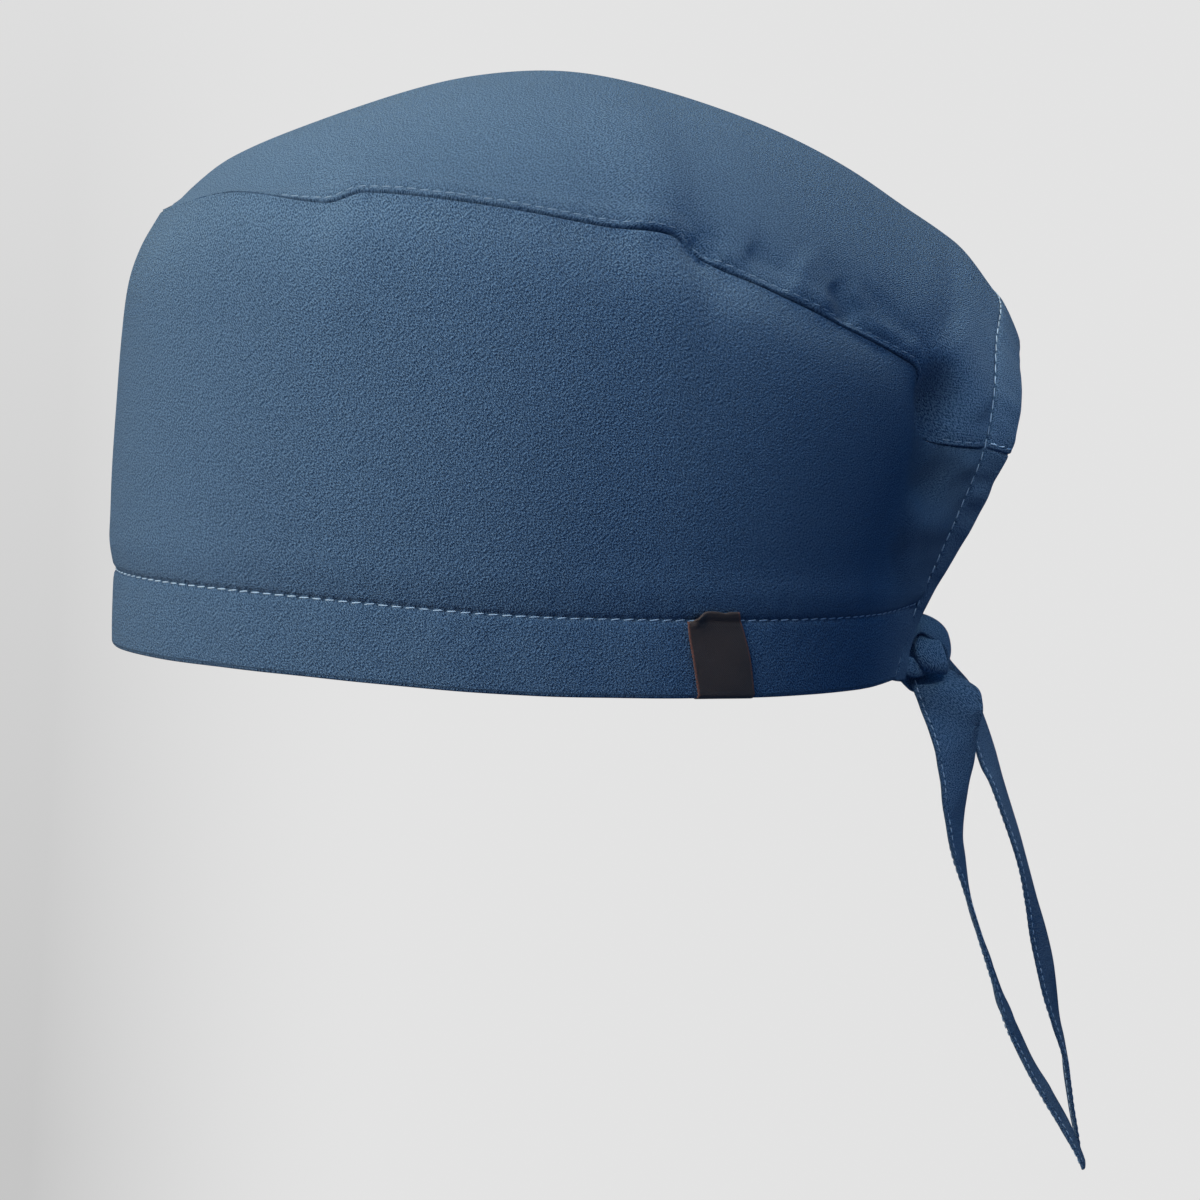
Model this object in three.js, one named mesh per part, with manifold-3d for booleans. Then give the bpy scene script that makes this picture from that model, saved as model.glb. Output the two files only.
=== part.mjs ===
// Scrub cap: a domed cloth cap with a side band, a doubled hem and a back opening drawn together by ties.
// Millimetres, +Z up. The wearer looks along -Y, and +X is the wearer's left.
// The origin is the centre of the head opening, in the plane of the rim.
import * as THREE from 'three';
import { mergeVertices } from 'three/addons/utils/BufferGeometryUtils.js';
import Module from 'manifold-3d';

// Driving sizes of the cap
const RIM_LENGTH = 202;
const RIM_WIDTH = 162;
const CAP_HEIGHT = 152;
const SEAM_HEIGHT = 114;
const HEM_HEIGHT = 19.4;
const RIM_ARCH = 2.2;
const PUFF_OVERHANG = 31.6;
const SLIT_HEIGHT = 90.6;
const SLIT_WIDTH = 71;
const CASING_WIDTH = 12;

// Cloth and clearances
const CLOTH = 1.0;
const DOUBLED_CLOTH = 2.2;
const CASING_SWELL = 0.7;
const PIECE_GAP = 0.3;

// Folds, ties, knot and label
const FOLD_DEPTH = 10;
const FOLD_WIDTH = 12;
const TIE_WIDTH = 16;
const TIE_DROP = 131;
const TIE_SWEEP = 46;
const TIE_THICKNESS = 1.6;
const TAIL_SETBACK = 2.5;
const KNOT_HEIGHT = 15;
const KNOT_WIDTH = 10;
const KNOT_DEPTH = 12;
const KNOT_FOOT = 2.6;
const KNOT_BEHIND_EDGE = 6.6;
const KNOT_LEAD_WIDTH = 8;
const KNOT_LOOP_WIDTH = 7.2;
const KNOT_EXIT_LENGTH = 3;
const LABEL_WIDTH = 16;
const LABEL_LEAN = 5;
const LABEL_STATION = 36.4;
const LABEL_THICKNESS = 0.6;

// Mesh fineness
const SIDE_COLUMNS = 30;
const SIDE_ROWS = 9;
const CROWN_COLUMNS = 20;
const HEM_CASING_STEPS = 2;
const TIE_STEPS = 22;
const KNOT_SEGMENTS = 12;
const KNOT_RINGS = 8;
const LABEL_COLUMNS = 4;
// How much closer together the columns stand at the casing than halfway to the front
const BACK_CROWDING = 0.3;

const HALF_LENGTH = RIM_LENGTH / 2;
const HALF_WIDTH = RIM_WIDTH / 2;
const RIGHT_ANGLE = Math.PI / 2;
const DEGREE = Math.PI / 180;

// Share of the way from the casing to the front centre at which the widest point and the crown's corner lie
const WIDEST_SHARE = 0.48;
const CORNER_SHARE = 0.86;
// Fullness of the band's plan past the widest point and before the casing,
// and how far the casing's heights reach into the band
const SIDE_HANDLE = 0.5;
const CASING_HANDLE = 0.42;
const CASING_REACH = 0.12;
// Place where the rim starts to arch, and the length of the arch, as shares of half RIM_LENGTH
const ARCH_START = 0.05;
const ARCH_SPAN = 0.8;
// Part of half RIM_WIDTH over which the dents fade out towards the middle of the cap
const DENT_FADE = 0.3;

// The back opening's edge, from the rim up to its top at the centre back (1) and one row past it.
// half: share of half SLIT_WIDTH. overhang: share of PUFF_OVERHANG. height: share of SLIT_HEIGHT.
// turn and lift: direction in which the casing leaves the edge, in degrees from +X towards -Y and upwards.
const SLIT_EDGE = [
  { at: 0.0, half: 0.3, overhang: 0.06, height: 0.0, turn: 27, lift: 0 },
  { at: 0.1, half: 0.32, overhang: 0.15, height: 0.13, turn: 28, lift: 0 },
  { at: 0.18, half: 0.42, overhang: 0.22, height: 0.225, turn: 31, lift: 0 },
  { at: 0.3, half: 0.64, overhang: 0.35, height: 0.365, turn: 38, lift: 2 },
  { at: 0.44, half: 0.88, overhang: 0.51, height: 0.53, turn: 47, lift: 5 },
  { at: 0.56, half: 1.0, overhang: 0.63, height: 0.66, turn: 54, lift: 9 },
  { at: 0.67, half: 0.98, overhang: 0.71, height: 0.79, turn: 59, lift: 20 },
  { at: 0.77, half: 0.8, overhang: 0.77, height: 0.895, turn: 65, lift: 36 },
  { at: 0.88, half: 0.44, overhang: 0.91, height: 0.972, turn: 76, lift: 52 },
  { at: 1.0, half: 0.0, overhang: 0.965, height: 1.0, turn: 90, lift: 61 },
  { at: 1.12, half: -0.44, overhang: 0.91, height: 0.972, turn: 104, lift: 52 },
];
const HEM_TOP_AT = 0.18;
const SEAM_AT = 0.56;

// Levels of the side band from the hem's stitch line up to the crown seam.
// width: share of half RIM_WIDTH. front: share of half RIM_LENGTH.
const SIDE_LEVELS = [
  { at: 0.0, width: 1.0, front: 1.005 },
  { at: 0.1, width: 1.02, front: 1.016 },
  { at: 0.25, width: 1.04, front: 1.02 },
  { at: 0.45, width: 1.052, front: 1.016 },
  { at: 0.65, width: 1.052, front: 1.008 },
  { at: 0.8, width: 1.04, front: 0.994 },
  { at: 0.9, width: 1.015, front: 0.966 },
  { at: 1.0, width: 0.965, front: 0.92 },
];

// Height of the crown seam along the cap, a row for each rise, dip or fold, as a share of SEAM_HEIGHT.
// at: place front to back, as a share of half RIM_LENGTH.
const SEAM_LINE = [
  { at: -0.93, height: 0.981 },
  { at: -0.83, height: 1.021 },
  { at: -0.75, height: 1.034 },
  { at: -0.57, height: 1.02 },
  { at: -0.5, height: 1.045 },
  { at: -0.27, height: 1.031 },
  { at: 0.0, height: 0.996 },
  { at: 0.17, height: 0.983 },
  { at: 0.26, height: 0.93 },
  { at: 0.4, height: 0.884 },
  { at: 0.6, height: 0.814 },
  { at: 0.8, height: 0.742 },
  { at: 0.88, height: 0.697 },
  { at: 0.94, height: 0.58 },
  { at: 1.0, height: 0.555 },
  { at: 1.09, height: 0.545 },
];
// The crown sits slightly turned at the front: its heights run this much later on the far side
const CROWN_TURN = 0.15;

// The crown's ridge from the top of the casing forward to the seam.
// station: share of half RIM_LENGTH. height: share of CAP_HEIGHT.
// spread: how straight the rib leaves the seam.
const CROWN_RIDGE = [
  { at: 0.0, station: 1.245, height: 0.665, spread: -0.1 },
  { at: 0.08, station: 1.12, height: 0.757, spread: -0.15 },
  { at: 0.2, station: 0.9, height: 0.835, spread: -0.05 },
  { at: 0.35, station: 0.535, height: 0.938, spread: 0.15 },
  { at: 0.5, station: 0.15, height: 0.996, spread: 0.3 },
  { at: 0.62, station: -0.14, height: 0.984, spread: 0.35 },
  { at: 0.75, station: -0.45, height: 0.923, spread: 0.35 },
  { at: 0.88, station: -0.735, height: 0.838, spread: 0.3 },
  { at: 0.945, station: -0.84, height: 0.79, spread: 0.25 },
  { at: 1.0, station: -0.92, height: 0.7355, spread: 0.2 },
];
const BACK_BLEND = 0.22;
const FRONT_BLEND = 0.25;

// Dents, as seen from the cap's side: a line from one point to another, pushed in towards the head.
// side: +1 wearer's left, -1 wearer's right. y: share of half RIM_LENGTH. z: share of CAP_HEIGHT.
// deep: share of FOLD_DEPTH. wide: share of FOLD_WIDTH. turn: push direction, degrees from -X towards -Y.
const FOLDS = [
  { side: 1, y0: 0.84, z0: 0.62, y1: 0.94, z1: 0.48, deep: 0.4, wide: 0.7, turn: 25 },
  { side: 1, y0: 0.95, z0: 0.48, y1: 0.95, z1: 0.33, deep: 0.55, wide: 0.8, turn: 30 },
  { side: 1, y0: 0.94, z0: 0.33, y1: 0.86, z1: 0.2, deep: 0.2, wide: 0.9, turn: 25 },
  { side: 1, y0: 0.56, z0: 0.74, y1: 0.72, z1: 0.63, deep: 0.25, wide: 0.45, turn: 20 },
  { side: 1, y0: 0.2, z0: 0.74, y1: 0.3, z1: 0.69, deep: 0.25, wide: 0.6, turn: 0 },
  { side: -1, y0: 0.8, z0: 0.64, y1: 0.93, z1: 0.46, deep: 0.4, wide: 0.8, turn: 25 },
  { side: -1, y0: 0.93, z0: 0.46, y1: 0.88, z1: 0.26, deep: 0.45, wide: 0.85, turn: 28 },
  { side: -1, y0: 0.34, z0: 0.76, y1: 0.5, z1: 0.68, deep: 0.22, wide: 0.55, turn: 10 },
];

// The two tails, a row for each turn of the tape. at: share of TIE_DROP below the knot.
// sweep: share of TIE_SWEEP behind the knot. side: place across the cap, as a share of TIE_WIDTH.
// face: direction of the width, in degrees about Z from +X. wide: share of TIE_WIDTH.
const NEAR_TAIL = [
  { at: 0.0, sweep: -0.01, side: 0.19, face: 75, wide: 0.93 },
  { at: 0.05, sweep: 0.057, side: 0.28, face: 75, wide: 1.06 },
  { at: 0.1, sweep: 0.1, side: 0.31, face: 93, wide: 1.04 },
  { at: 0.15, sweep: 0.124, side: 0.31, face: 116, wide: 1.02 },
  { at: 0.2, sweep: 0.141, side: 0.31, face: 122, wide: 1.0 },
  { at: 0.25, sweep: 0.15, side: 0.31, face: 132, wide: 1.0 },
  { at: 0.35, sweep: 0.161, side: 0.31, face: 148, wide: 1.0 },
  { at: 0.45, sweep: 0.239, side: 0.31, face: 158, wide: 1.0 },
  { at: 0.6, sweep: 0.4, side: 0.32, face: 159, wide: 1.0 },
  { at: 0.75, sweep: 0.598, side: 0.34, face: 156, wide: 1.0 },
  { at: 0.88, sweep: 0.83, side: 0.38, face: 155, wide: 1.0 },
  { at: 1.0, sweep: 1.02, side: 0.4, face: 158, wide: 0.9 },
];
const FAR_TAIL = [
  { at: 0.0, sweep: 0.076, side: -0.27, face: 137, wide: 0.75 },
  { at: 0.05, sweep: 0.196, side: -0.36, face: 139, wide: 0.9 },
  { at: 0.1, sweep: 0.283, side: -0.42, face: 143, wide: 1.0 },
  { at: 0.15, sweep: 0.348, side: -0.48, face: 146, wide: 1.0 },
  { at: 0.2, sweep: 0.409, side: -0.53, face: 147, wide: 1.0 },
  { at: 0.35, sweep: 0.587, side: -0.53, face: 150, wide: 1.0 },
  { at: 0.45, sweep: 0.68, side: -0.53, face: 150, wide: 1.0 },
  { at: 0.6, sweep: 0.804, side: -0.55, face: 144, wide: 1.0 },
  { at: 0.75, sweep: 0.922, side: -0.57, face: 151, wide: 1.0 },
  { at: 0.88, sweep: 1.007, side: -0.63, face: 163, wide: 1.0 },
  { at: 1.0, sweep: 1.072, side: -0.66, face: 163, wide: 0.9 },
];

// Shape of the half knot: the two leads and the loop over its top.
// side: share of KNOT_DEPTH across the cap. back: share of KNOT_WIDTH.
// up: share of KNOT_HEIGHT above its middle.
const KNOT_LOOP = [
  { side: 0.62, back: -0.62, up: 0.4 },
  { side: 0.42, back: -0.1, up: 0.52 },
  { side: 0.18, back: 0.36, up: 0.3 },
  { side: 0.0, back: 0.5, up: -0.12 },
];

// Small vector and table helpers
const vec = (x, y, z) => new THREE.Vector3(x, y, z);

function smooth(share) {
  const s = THREE.MathUtils.clamp(share, 0, 1);
  return s * s * (3 - 2 * s);
}

// A table's columns read at one place, on a smooth curve through its rows.
function readTable(rows, at) {
  const last = rows.length - 1;
  const where = THREE.MathUtils.clamp(at, rows[0].at, rows[last].at);
  let i = 0;
  while (i < last - 1 && rows[i + 1].at < where) i += 1;
  const span = rows[i + 1].at - rows[i].at;
  const t = (where - rows[i].at) / span;
  const slope = (k, key) => {
    const before = rows[Math.max(k - 1, 0)];
    const after = rows[Math.min(k + 1, last)];
    return ((after[key] - before[key]) / (after.at - before.at)) * span;
  };
  const read = {};
  for (const key of Object.keys(rows[0])) {
    const start = rows[i][key];
    const end = rows[i + 1][key];
    const m0 = slope(i, key);
    const m1 = slope(i + 1, key);
    const t2 = t * t;
    const t3 = t2 * t;
    read[key] = (2 * t3 - 3 * t2 + 1) * start + (3 * t2 - 2 * t3) * end
      + (t3 - 2 * t2 + t) * m0 + (t3 - t2) * m1;
  }
  return read;
}

function cubic(p0, p1, p2, p3, t) {
  const s = 1 - t;
  return p0.clone().multiplyScalar(s * s * s)
    .addScaledVector(p1, 3 * s * s * t)
    .addScaledVector(p2, 3 * s * t * t)
    .addScaledVector(p3, t * t * t);
}

// Edge of the back opening and the casing's direction there; places past 1 lie on the far side.
function slitEdge(place) {
  const mirror = place > 1 ? -1 : 1;
  const row = readTable(SLIT_EDGE, place > 1 ? 2 - place : place);
  const turn = row.turn * DEGREE;
  const lift = row.lift * DEGREE;
  const edge = vec(
    mirror * row.half * SLIT_WIDTH / 2,
    HALF_LENGTH + row.overhang * PUFF_OVERHANG,
    row.height * SLIT_HEIGHT,
  );
  const away = vec(
    mirror * Math.cos(turn) * Math.cos(lift),
    -Math.sin(turn) * Math.cos(lift),
    Math.sin(lift),
  );
  return { edge, away };
}

// The casing's stitch line, where the panels end.
function casingLine(place) {
  const { edge, away } = slitEdge(place);
  return edge.addScaledVector(away, CASING_WIDTH);
}

// Small rise of the rim towards the forehead.
function rimLift(y) {
  return RIM_ARCH * smooth((-y / HALF_LENGTH - ARCH_START) / ARCH_SPAN);
}

// Plan of the band at one level: from the casing (0) past the widest point to the front centre (1).
function bandPlan(share, halfWidth, frontReach, casing, away) {
  if (share < WIDEST_SHARE) {
    const t = share / WIDEST_SHARE;
    const widest = vec(halfWidth, 0, 0);
    const afterWidest = vec(halfWidth, casing.y * SIDE_HANDLE, 0);
    const start = vec(casing.x, casing.y, 0);
    const beforeCasing = start.clone().addScaledVector(away, casing.y * CASING_HANDLE);
    return cubic(start, beforeCasing, afterWidest, widest, t);
  }
  const angle = ((share - WIDEST_SHARE) / (1 - WIDEST_SHARE)) * RIGHT_ANGLE;
  return vec(halfWidth * Math.cos(angle), -frontReach * Math.sin(angle), 0);
}

// Casing direction in plan, level.
function awayInPlan(place) {
  const { away } = slitEdge(place);
  return vec(Math.abs(away.x), away.y, 0).normalize();
}

// One half of the side band, drawn on the near side: share runs from the casing (0) to the front (1).
// level runs from the hem to the seam. side is +1 near, -1 far.
function halfBand(share, level, side) {
  const row = readTable(SIDE_LEVELS, level);
  const place = HEM_TOP_AT + (SEAM_AT - HEM_TOP_AT) * level;
  const casing = casingLine(place);
  const point = bandPlan(share, row.width * HALF_WIDTH, row.front * HALF_LENGTH, casing,
    awayInPlan(place));
  const seamRow = readTable(SIDE_LEVELS, 1);
  const seam = bandPlan(share, seamRow.width * HALF_WIDTH, seamRow.front * HALF_LENGTH,
    casingLine(SEAM_AT), awayInPlan(SEAM_AT));
  const station = seam.y + side * CROWN_TURN * seam.x * smooth(-seam.y / HALF_LENGTH);
  const low = HEM_HEIGHT + rimLift(point.y);
  const high = SEAM_HEIGHT * readTable(SEAM_LINE, station / HALF_LENGTH).height;
  const nearCasing = 1 - smooth(share / CASING_REACH);
  point.z = THREE.MathUtils.lerp(THREE.MathUtils.lerp(low, high, level), casing.z, nearCasing);
  return point;
}

// Inward push of the dents at a point of the cap.
function dent(point) {
  const push = vec(0, 0, 0);
  for (const fold of FOLDS) {
    if (fold.side * point.x <= 0) continue;
    const start = new THREE.Vector2(fold.y0 * HALF_LENGTH, fold.z0 * CAP_HEIGHT);
    const along = new THREE.Vector2(fold.y1 * HALF_LENGTH, fold.z1 * CAP_HEIGHT).sub(start);
    const here = new THREE.Vector2(point.y, point.z).sub(start);
    const share = THREE.MathUtils.clamp(here.dot(along) / along.lengthSq(), 0, 1);
    const distance = here.addScaledVector(along, -share).length() / (fold.wide * FOLD_WIDTH);
    const reach = smooth(Math.abs(point.x) / (DENT_FADE * HALF_WIDTH));
    const deep = fold.deep * FOLD_DEPTH * Math.exp(-distance * distance) * reach;
    const turn = fold.turn * DEGREE;
    push.x -= fold.side * deep * Math.cos(turn);
    push.y -= deep * Math.sin(turn);
  }
  return push;
}

const dented = (point) => point.clone().add(dent(point));

// The whole band: place runs from the near casing (0) round the front (1) to the far casing (2).
function sideSurface(place, level) {
  const far = place > 1;
  const point = halfBand(far ? 2 - place : place, level, far ? -1 : 1);
  if (far) point.x = -point.x;
  return dented(point);
}

// Crown before dents: along runs from the casing (0) to the front seam (1),
// across from the far seam (-1) over the ridge to the near one (1).
function plainCrown(along, across) {
  const seat = halfBand(along * CORNER_SHARE, 1, across < 0 ? -1 : 1);
  const ridge = readTable(CROWN_RIDGE, along);
  const angle = (1 - Math.abs(across)) * RIGHT_ANGLE;
  const x = seat.x * ((1 - ridge.spread) * Math.cos(angle) + ridge.spread * Math.abs(across));
  const rise = Math.sin(angle);
  const y = THREE.MathUtils.lerp(seat.y, ridge.station * HALF_LENGTH, rise * rise);
  const z = THREE.MathUtils.lerp(seat.z, ridge.height * CAP_HEIGHT, rise);
  return vec(Math.sign(across) * x, y, z);
}

// Crown with its ends drawn onto the casing's line and onto the front of the seam
function crownSurface(along, across) {
  const point = plainCrown(along, across);
  const share = Math.abs(across);
  const side = across < 0 ? -1 : 1;
  const pull = (wanted, plain, weight) => {
    wanted.x *= side;
    point.addScaledVector(wanted.sub(plain), weight);
  };
  pull(casingLine(1 - (1 - SEAM_AT) * share), plainCrown(0, across), 1 - smooth(along / BACK_BLEND));
  const frontWeight = smooth((along - 1 + FRONT_BLEND) / FRONT_BLEND);
  pull(halfBand(1 - (1 - CORNER_SHARE) * share, 1, side), plainCrown(1, across), frontWeight);
  return dented(point);
}

// Stations shared by every piece that meets at the crown seam and the stitch lines
function nearStations() {
  const stations = [];
  for (let i = 0; i <= SIDE_COLUMNS; i += 1) {
    const w = i / SIDE_COLUMNS;
    stations.push(w * (1 - BACK_CROWDING + BACK_CROWDING * w));
  }
  return stations;
}

function bandPlaces() {
  const near = nearStations().map((w) => w * CORNER_SHARE);
  const front = [];
  for (let j = 1; j < CROWN_COLUMNS; j += 1) {
    front.push(CORNER_SHARE + (2 * (1 - CORNER_SHARE) * j) / CROWN_COLUMNS);
  }
  const far = near.map((p) => 2 - p).reverse();
  return [...near, ...front, ...far];
}

function acrossPlaces() {
  return Array.from({ length: CROWN_COLUMNS + 1 }, (_, j) => 1 - (2 * j) / CROWN_COLUMNS);
}

// Solids made from grids of points
function gridNormals(grid) {
  const rows = grid.length;
  const columns = grid[0].length;
  return grid.map((row, i) => row.map((_, j) => {
    const alongRow = grid[i][Math.min(j + 1, columns - 1)].clone().sub(grid[i][Math.max(j - 1, 0)]);
    const alongColumn = grid[Math.min(i + 1, rows - 1)][j].clone().sub(grid[Math.max(i - 1, 0)][j]);
    return alongRow.cross(alongColumn).normalize();
  }));
}

// Draws the grid's border back by half the gap, so that neighbours keep their clearance.
function trimBorder(grid) {
  const rows = grid.length;
  const columns = grid[0].length;
  const step = PIECE_GAP / 2;
  const trimmed = grid.map((row) => row.map((p) => p.clone()));
  const draw = (i, j, i2, j2) => {
    const inward = grid[i2][j2].clone().sub(grid[i][j]).normalize();
    trimmed[i][j].addScaledVector(inward, step);
  };
  for (let j = 0; j < columns; j += 1) {
    draw(0, j, 1, j);
    draw(rows - 1, j, rows - 2, j);
  }
  for (let i = 0; i < rows; i += 1) {
    draw(i, 0, i, 1);
    draw(i, columns - 1, i, columns - 2);
  }
  return trimmed;
}

function signedVolume(positions, index) {
  const at = (k) => vec(positions[3 * k], positions[3 * k + 1], positions[3 * k + 2]);
  let volume = 0;
  for (let k = 0; k < index.length; k += 3) {
    volume += at(index[k]).dot(at(index[k + 1]).cross(at(index[k + 2]))) / 6;
  }
  return volume;
}

// Closed body from its points and faces, turned so that its faces point out.
function closedBody(points, index) {
  const positions = points.flatMap((p) => [p.x, p.y, p.z]);
  const faces = index.slice();
  if (signedVolume(positions, faces) < 0) {
    for (let k = 0; k < faces.length; k += 3) {
      [faces[k + 1], faces[k + 2]] = [faces[k + 2], faces[k + 1]];
    }
  }
  const geometry = new THREE.BufferGeometry();
  geometry.setAttribute('position', new THREE.Float32BufferAttribute(positions, 3));
  geometry.setIndex(faces);
  return geometry;
}

// Wall between an outer and an inner grid of the same size, closed round its border.
function wallBody(outer, inner) {
  const rows = outer.length;
  const columns = outer[0].length;
  const points = [...outer.flat(), ...inner.flat()];
  const back = rows * columns;
  const index = [];
  const quad = (a, b, c, d) => index.push(a, b, c, a, c, d);
  for (let i = 0; i < rows - 1; i += 1) {
    for (let j = 0; j < columns - 1; j += 1) {
      const a = i * columns + j;
      quad(a, a + 1, a + columns + 1, a + columns);
      quad(back + a, back + a + columns, back + a + columns + 1, back + a + 1);
    }
  }
  for (let j = 0; j < columns - 1; j += 1) {
    const end = (rows - 1) * columns + j;
    quad(j, back + j, back + j + 1, j + 1);
    quad(end + 1, back + end + 1, back + end, end);
  }
  for (let i = 0; i < rows - 1; i += 1) {
    const a = i * columns;
    const b = a + columns - 1;
    quad(a + columns, back + a + columns, back + a, a);
    quad(b, back + b, back + b + columns, b + columns);
  }
  return closedBody(points, index);
}

// Closed sweep through rings of points, with flat ends.
function sweepBody(rings) {
  const sides = rings[0].length;
  const points = rings.flat();
  const index = [];
  for (let i = 0; i < rings.length - 1; i += 1) {
    for (let j = 0; j < sides; j += 1) {
      const a = i * sides + j;
      const b = i * sides + ((j + 1) % sides);
      index.push(a, b, b + sides, a, b + sides, a + sides);
    }
  }
  const end = (rings.length - 1) * sides;
  for (let j = 1; j < sides - 1; j += 1) {
    index.push(0, j + 1, j, end, end + j, end + j + 1);
  }
  return closedBody(points, index);
}

// Direction of the wall's thickness where the side band and the crown meet, shared by both.
function seamNormal(bandNormal, crownNormal) {
  return bandNormal.clone().add(crownNormal).normalize();
}

function sideGrid() {
  return Array.from({ length: SIDE_ROWS + 1 }, (_, i) => (
    bandPlaces().map((place) => sideSurface(place, i / SIDE_ROWS))));
}

function crownGrid() {
  return nearStations().map((along) => acrossPlaces().map((across) => crownSurface(along, across)));
}

// Places along the casing, shared by the panels' borders: hem, band, crown, and the same on the far side
function casingPlaces() {
  const low = Array.from({ length: HEM_CASING_STEPS }, (_, i) => (HEM_TOP_AT * i) / HEM_CASING_STEPS);
  const wall = Array.from({ length: SIDE_ROWS }, (_, i) => (
    HEM_TOP_AT + ((SEAM_AT - HEM_TOP_AT) * i) / SIDE_ROWS));
  const half = CROWN_COLUMNS / 2;
  const over = Array.from({ length: half }, (_, j) => SEAM_AT + ((1 - SEAM_AT) * j) / half);
  const near = [...low, ...wall, ...over];
  return [...near, 1, ...near.map((p) => 2 - p).reverse()];
}

// Stitch line, width and outward direction of the casing at each of its places
function casingFrames() {
  const places = casingPlaces();
  const line = places.map((place) => dented(casingLine(place)));
  return places.map((place, k) => {
    const across = dented(slitEdge(place).edge).sub(line[k]);
    const width = across.length();
    across.normalize();
    const ahead = line[Math.min(k + 1, line.length - 1)];
    const behind = line[Math.max(k - 1, 0)];
    const outward = across.clone().cross(ahead.clone().sub(behind)).normalize();
    return { start: line[k], across, width, outward };
  });
}

// Outward normals of the two panels, shared along their common seam and along the casing
function panelNormals() {
  const side = gridNormals(sideGrid());
  const crown = gridNormals(crownGrid());
  side.forEach((row) => row.forEach((n) => n.negate()));
  const top = side[SIDE_ROWS];
  const share = (band, i, j) => {
    const normal = seamNormal(top[band], crown[i][j]);
    top[band] = normal;
    crown[i][j] = normal;
  };
  for (let i = 0; i <= SIDE_COLUMNS; i += 1) {
    share(i, i, 0);
    share(top.length - 1 - i, i, CROWN_COLUMNS);
  }
  for (let j = 1; j < CROWN_COLUMNS; j += 1) share(SIDE_COLUMNS + j, SIDE_COLUMNS, j);
  const frames = casingFrames();
  for (let i = 0; i <= SIDE_ROWS; i += 1) {
    side[i][0] = frames[HEM_CASING_STEPS + i].outward;
    side[i][top.length - 1] = frames[frames.length - 1 - HEM_CASING_STEPS - i].outward;
  }
  const arch = HEM_CASING_STEPS + SIDE_ROWS;
  for (let j = 0; j <= CROWN_COLUMNS; j += 1) crown[0][j] = frames[arch + j].outward;
  return { side, crown };
}

function offsetGrid(grid, normals, depth) {
  return grid.map((row, i) => row.map((p, j) => p.clone().addScaledVector(normals[i][j], -depth)));
}

function buildSidePanel() {
  const { side } = panelNormals();
  const outer = trimBorder(sideGrid());
  return wallBody(outer, offsetGrid(outer, side, CLOTH));
}

function buildCrownPanel() {
  const { crown } = panelNormals();
  const outer = trimBorder(crownGrid());
  return wallBody(outer, offsetGrid(outer, crown, CLOTH));
}

// Hem ring: share of its height from the rim (0) to the stitch line (1)
function hemPoint(place, share) {
  const near = place > 1 ? 2 - place : place;
  const casing = casingLine(HEM_TOP_AT * share);
  const top = readTable(SIDE_LEVELS, 0);
  const point = bandPlan(near, top.width * HALF_WIDTH, top.front * HALF_LENGTH, casing,
    awayInPlan(HEM_TOP_AT * share));
  const lift = rimLift(point.y);
  const free = lift + HEM_HEIGHT * share;
  point.z = THREE.MathUtils.lerp(free, casing.z, 1 - smooth(near / CASING_REACH));
  if (place > 1) point.x = -point.x;
  return point;
}

// Section of the hem: share of its height, and depth below its outer face as a share of DOUBLED_CLOTH
const HEM_SECTION = [
  { up: 1.0, deep: 0.0 },
  { up: 0.5, deep: -0.12 },
  { up: 0.06, deep: 0.06 },
  { up: 0.0, deep: 0.4 },
  { up: 0.05, deep: 0.9 },
  { up: 1.0, deep: 1.0 },
];

const HEM_MIDDLE = 0.5;

function planNormal(points, k) {
  const ahead = points[Math.min(k + 1, points.length - 1)];
  const behind = points[Math.max(k - 1, 0)];
  return vec(behind.y - ahead.y, ahead.x - behind.x, 0).normalize();
}

function buildHemBand() {
  const places = bandPlaces();
  const line = places.map((place) => hemPoint(place, HEM_MIDDLE));
  const top = 1 - PIECE_GAP / HEM_HEIGHT;
  const rings = places.map((place, k) => {
    const outward = planNormal(line, k);
    return HEM_SECTION.map(({ up, deep }) => (
      hemPoint(place, Math.min(up, top)).addScaledVector(outward, -deep * DOUBLED_CLOTH)));
  });
  const step = PIECE_GAP / 2;
  const drawEnd = (ring, next) => ring.forEach((p, j) => {
    p.addScaledVector(next[j].clone().sub(p).normalize(), step);
  });
  drawEnd(rings[0], rings[1]);
  drawEnd(rings[rings.length - 1], rings[rings.length - 2]);
  return sweepBody(rings);
}

// Section of the casing, from its stitch line (0) over to its free edge (1).
// deep: depth below the outer face, as a share of DOUBLED_CLOTH, or of CASING_SWELL where it stands proud.
const CASING_SECTION = [
  { over: 0.0, deep: 0.0 },
  { over: 0.3, deep: -0.3 },
  { over: 0.7, deep: -0.3 },
  { over: 0.96, deep: 0.1 },
  { over: 1.0, deep: 0.5 },
  { over: 0.96, deep: 0.9 },
  { over: 0.0, deep: 1.0 },
];

function buildBackCasing() {
  const rings = casingFrames().map(({ start, across, width, outward }) => (
    CASING_SECTION.map(({ over, deep }) => {
      const reach = THREE.MathUtils.lerp(PIECE_GAP / 2, width, over);
      const stand = deep < 0 ? -deep * CASING_SWELL : -deep * DOUBLED_CLOTH;
      return start.clone().addScaledVector(across, reach).addScaledVector(outward, stand);
    })));
  return sweepBody(rings);
}

// Section of a ribbon: share of its half width and share of its thickness
const RIBBON_SECTION = [
  { over: -1, thick: 0 },
  { over: -0.92, thick: 0.5 },
  { over: 0, thick: 0.5 },
  { over: 0.92, thick: 0.5 },
  { over: 1, thick: 0 },
  { over: 0.92, thick: -0.5 },
  { over: 0, thick: -0.5 },
  { over: -0.92, thick: -0.5 },
];

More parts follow.
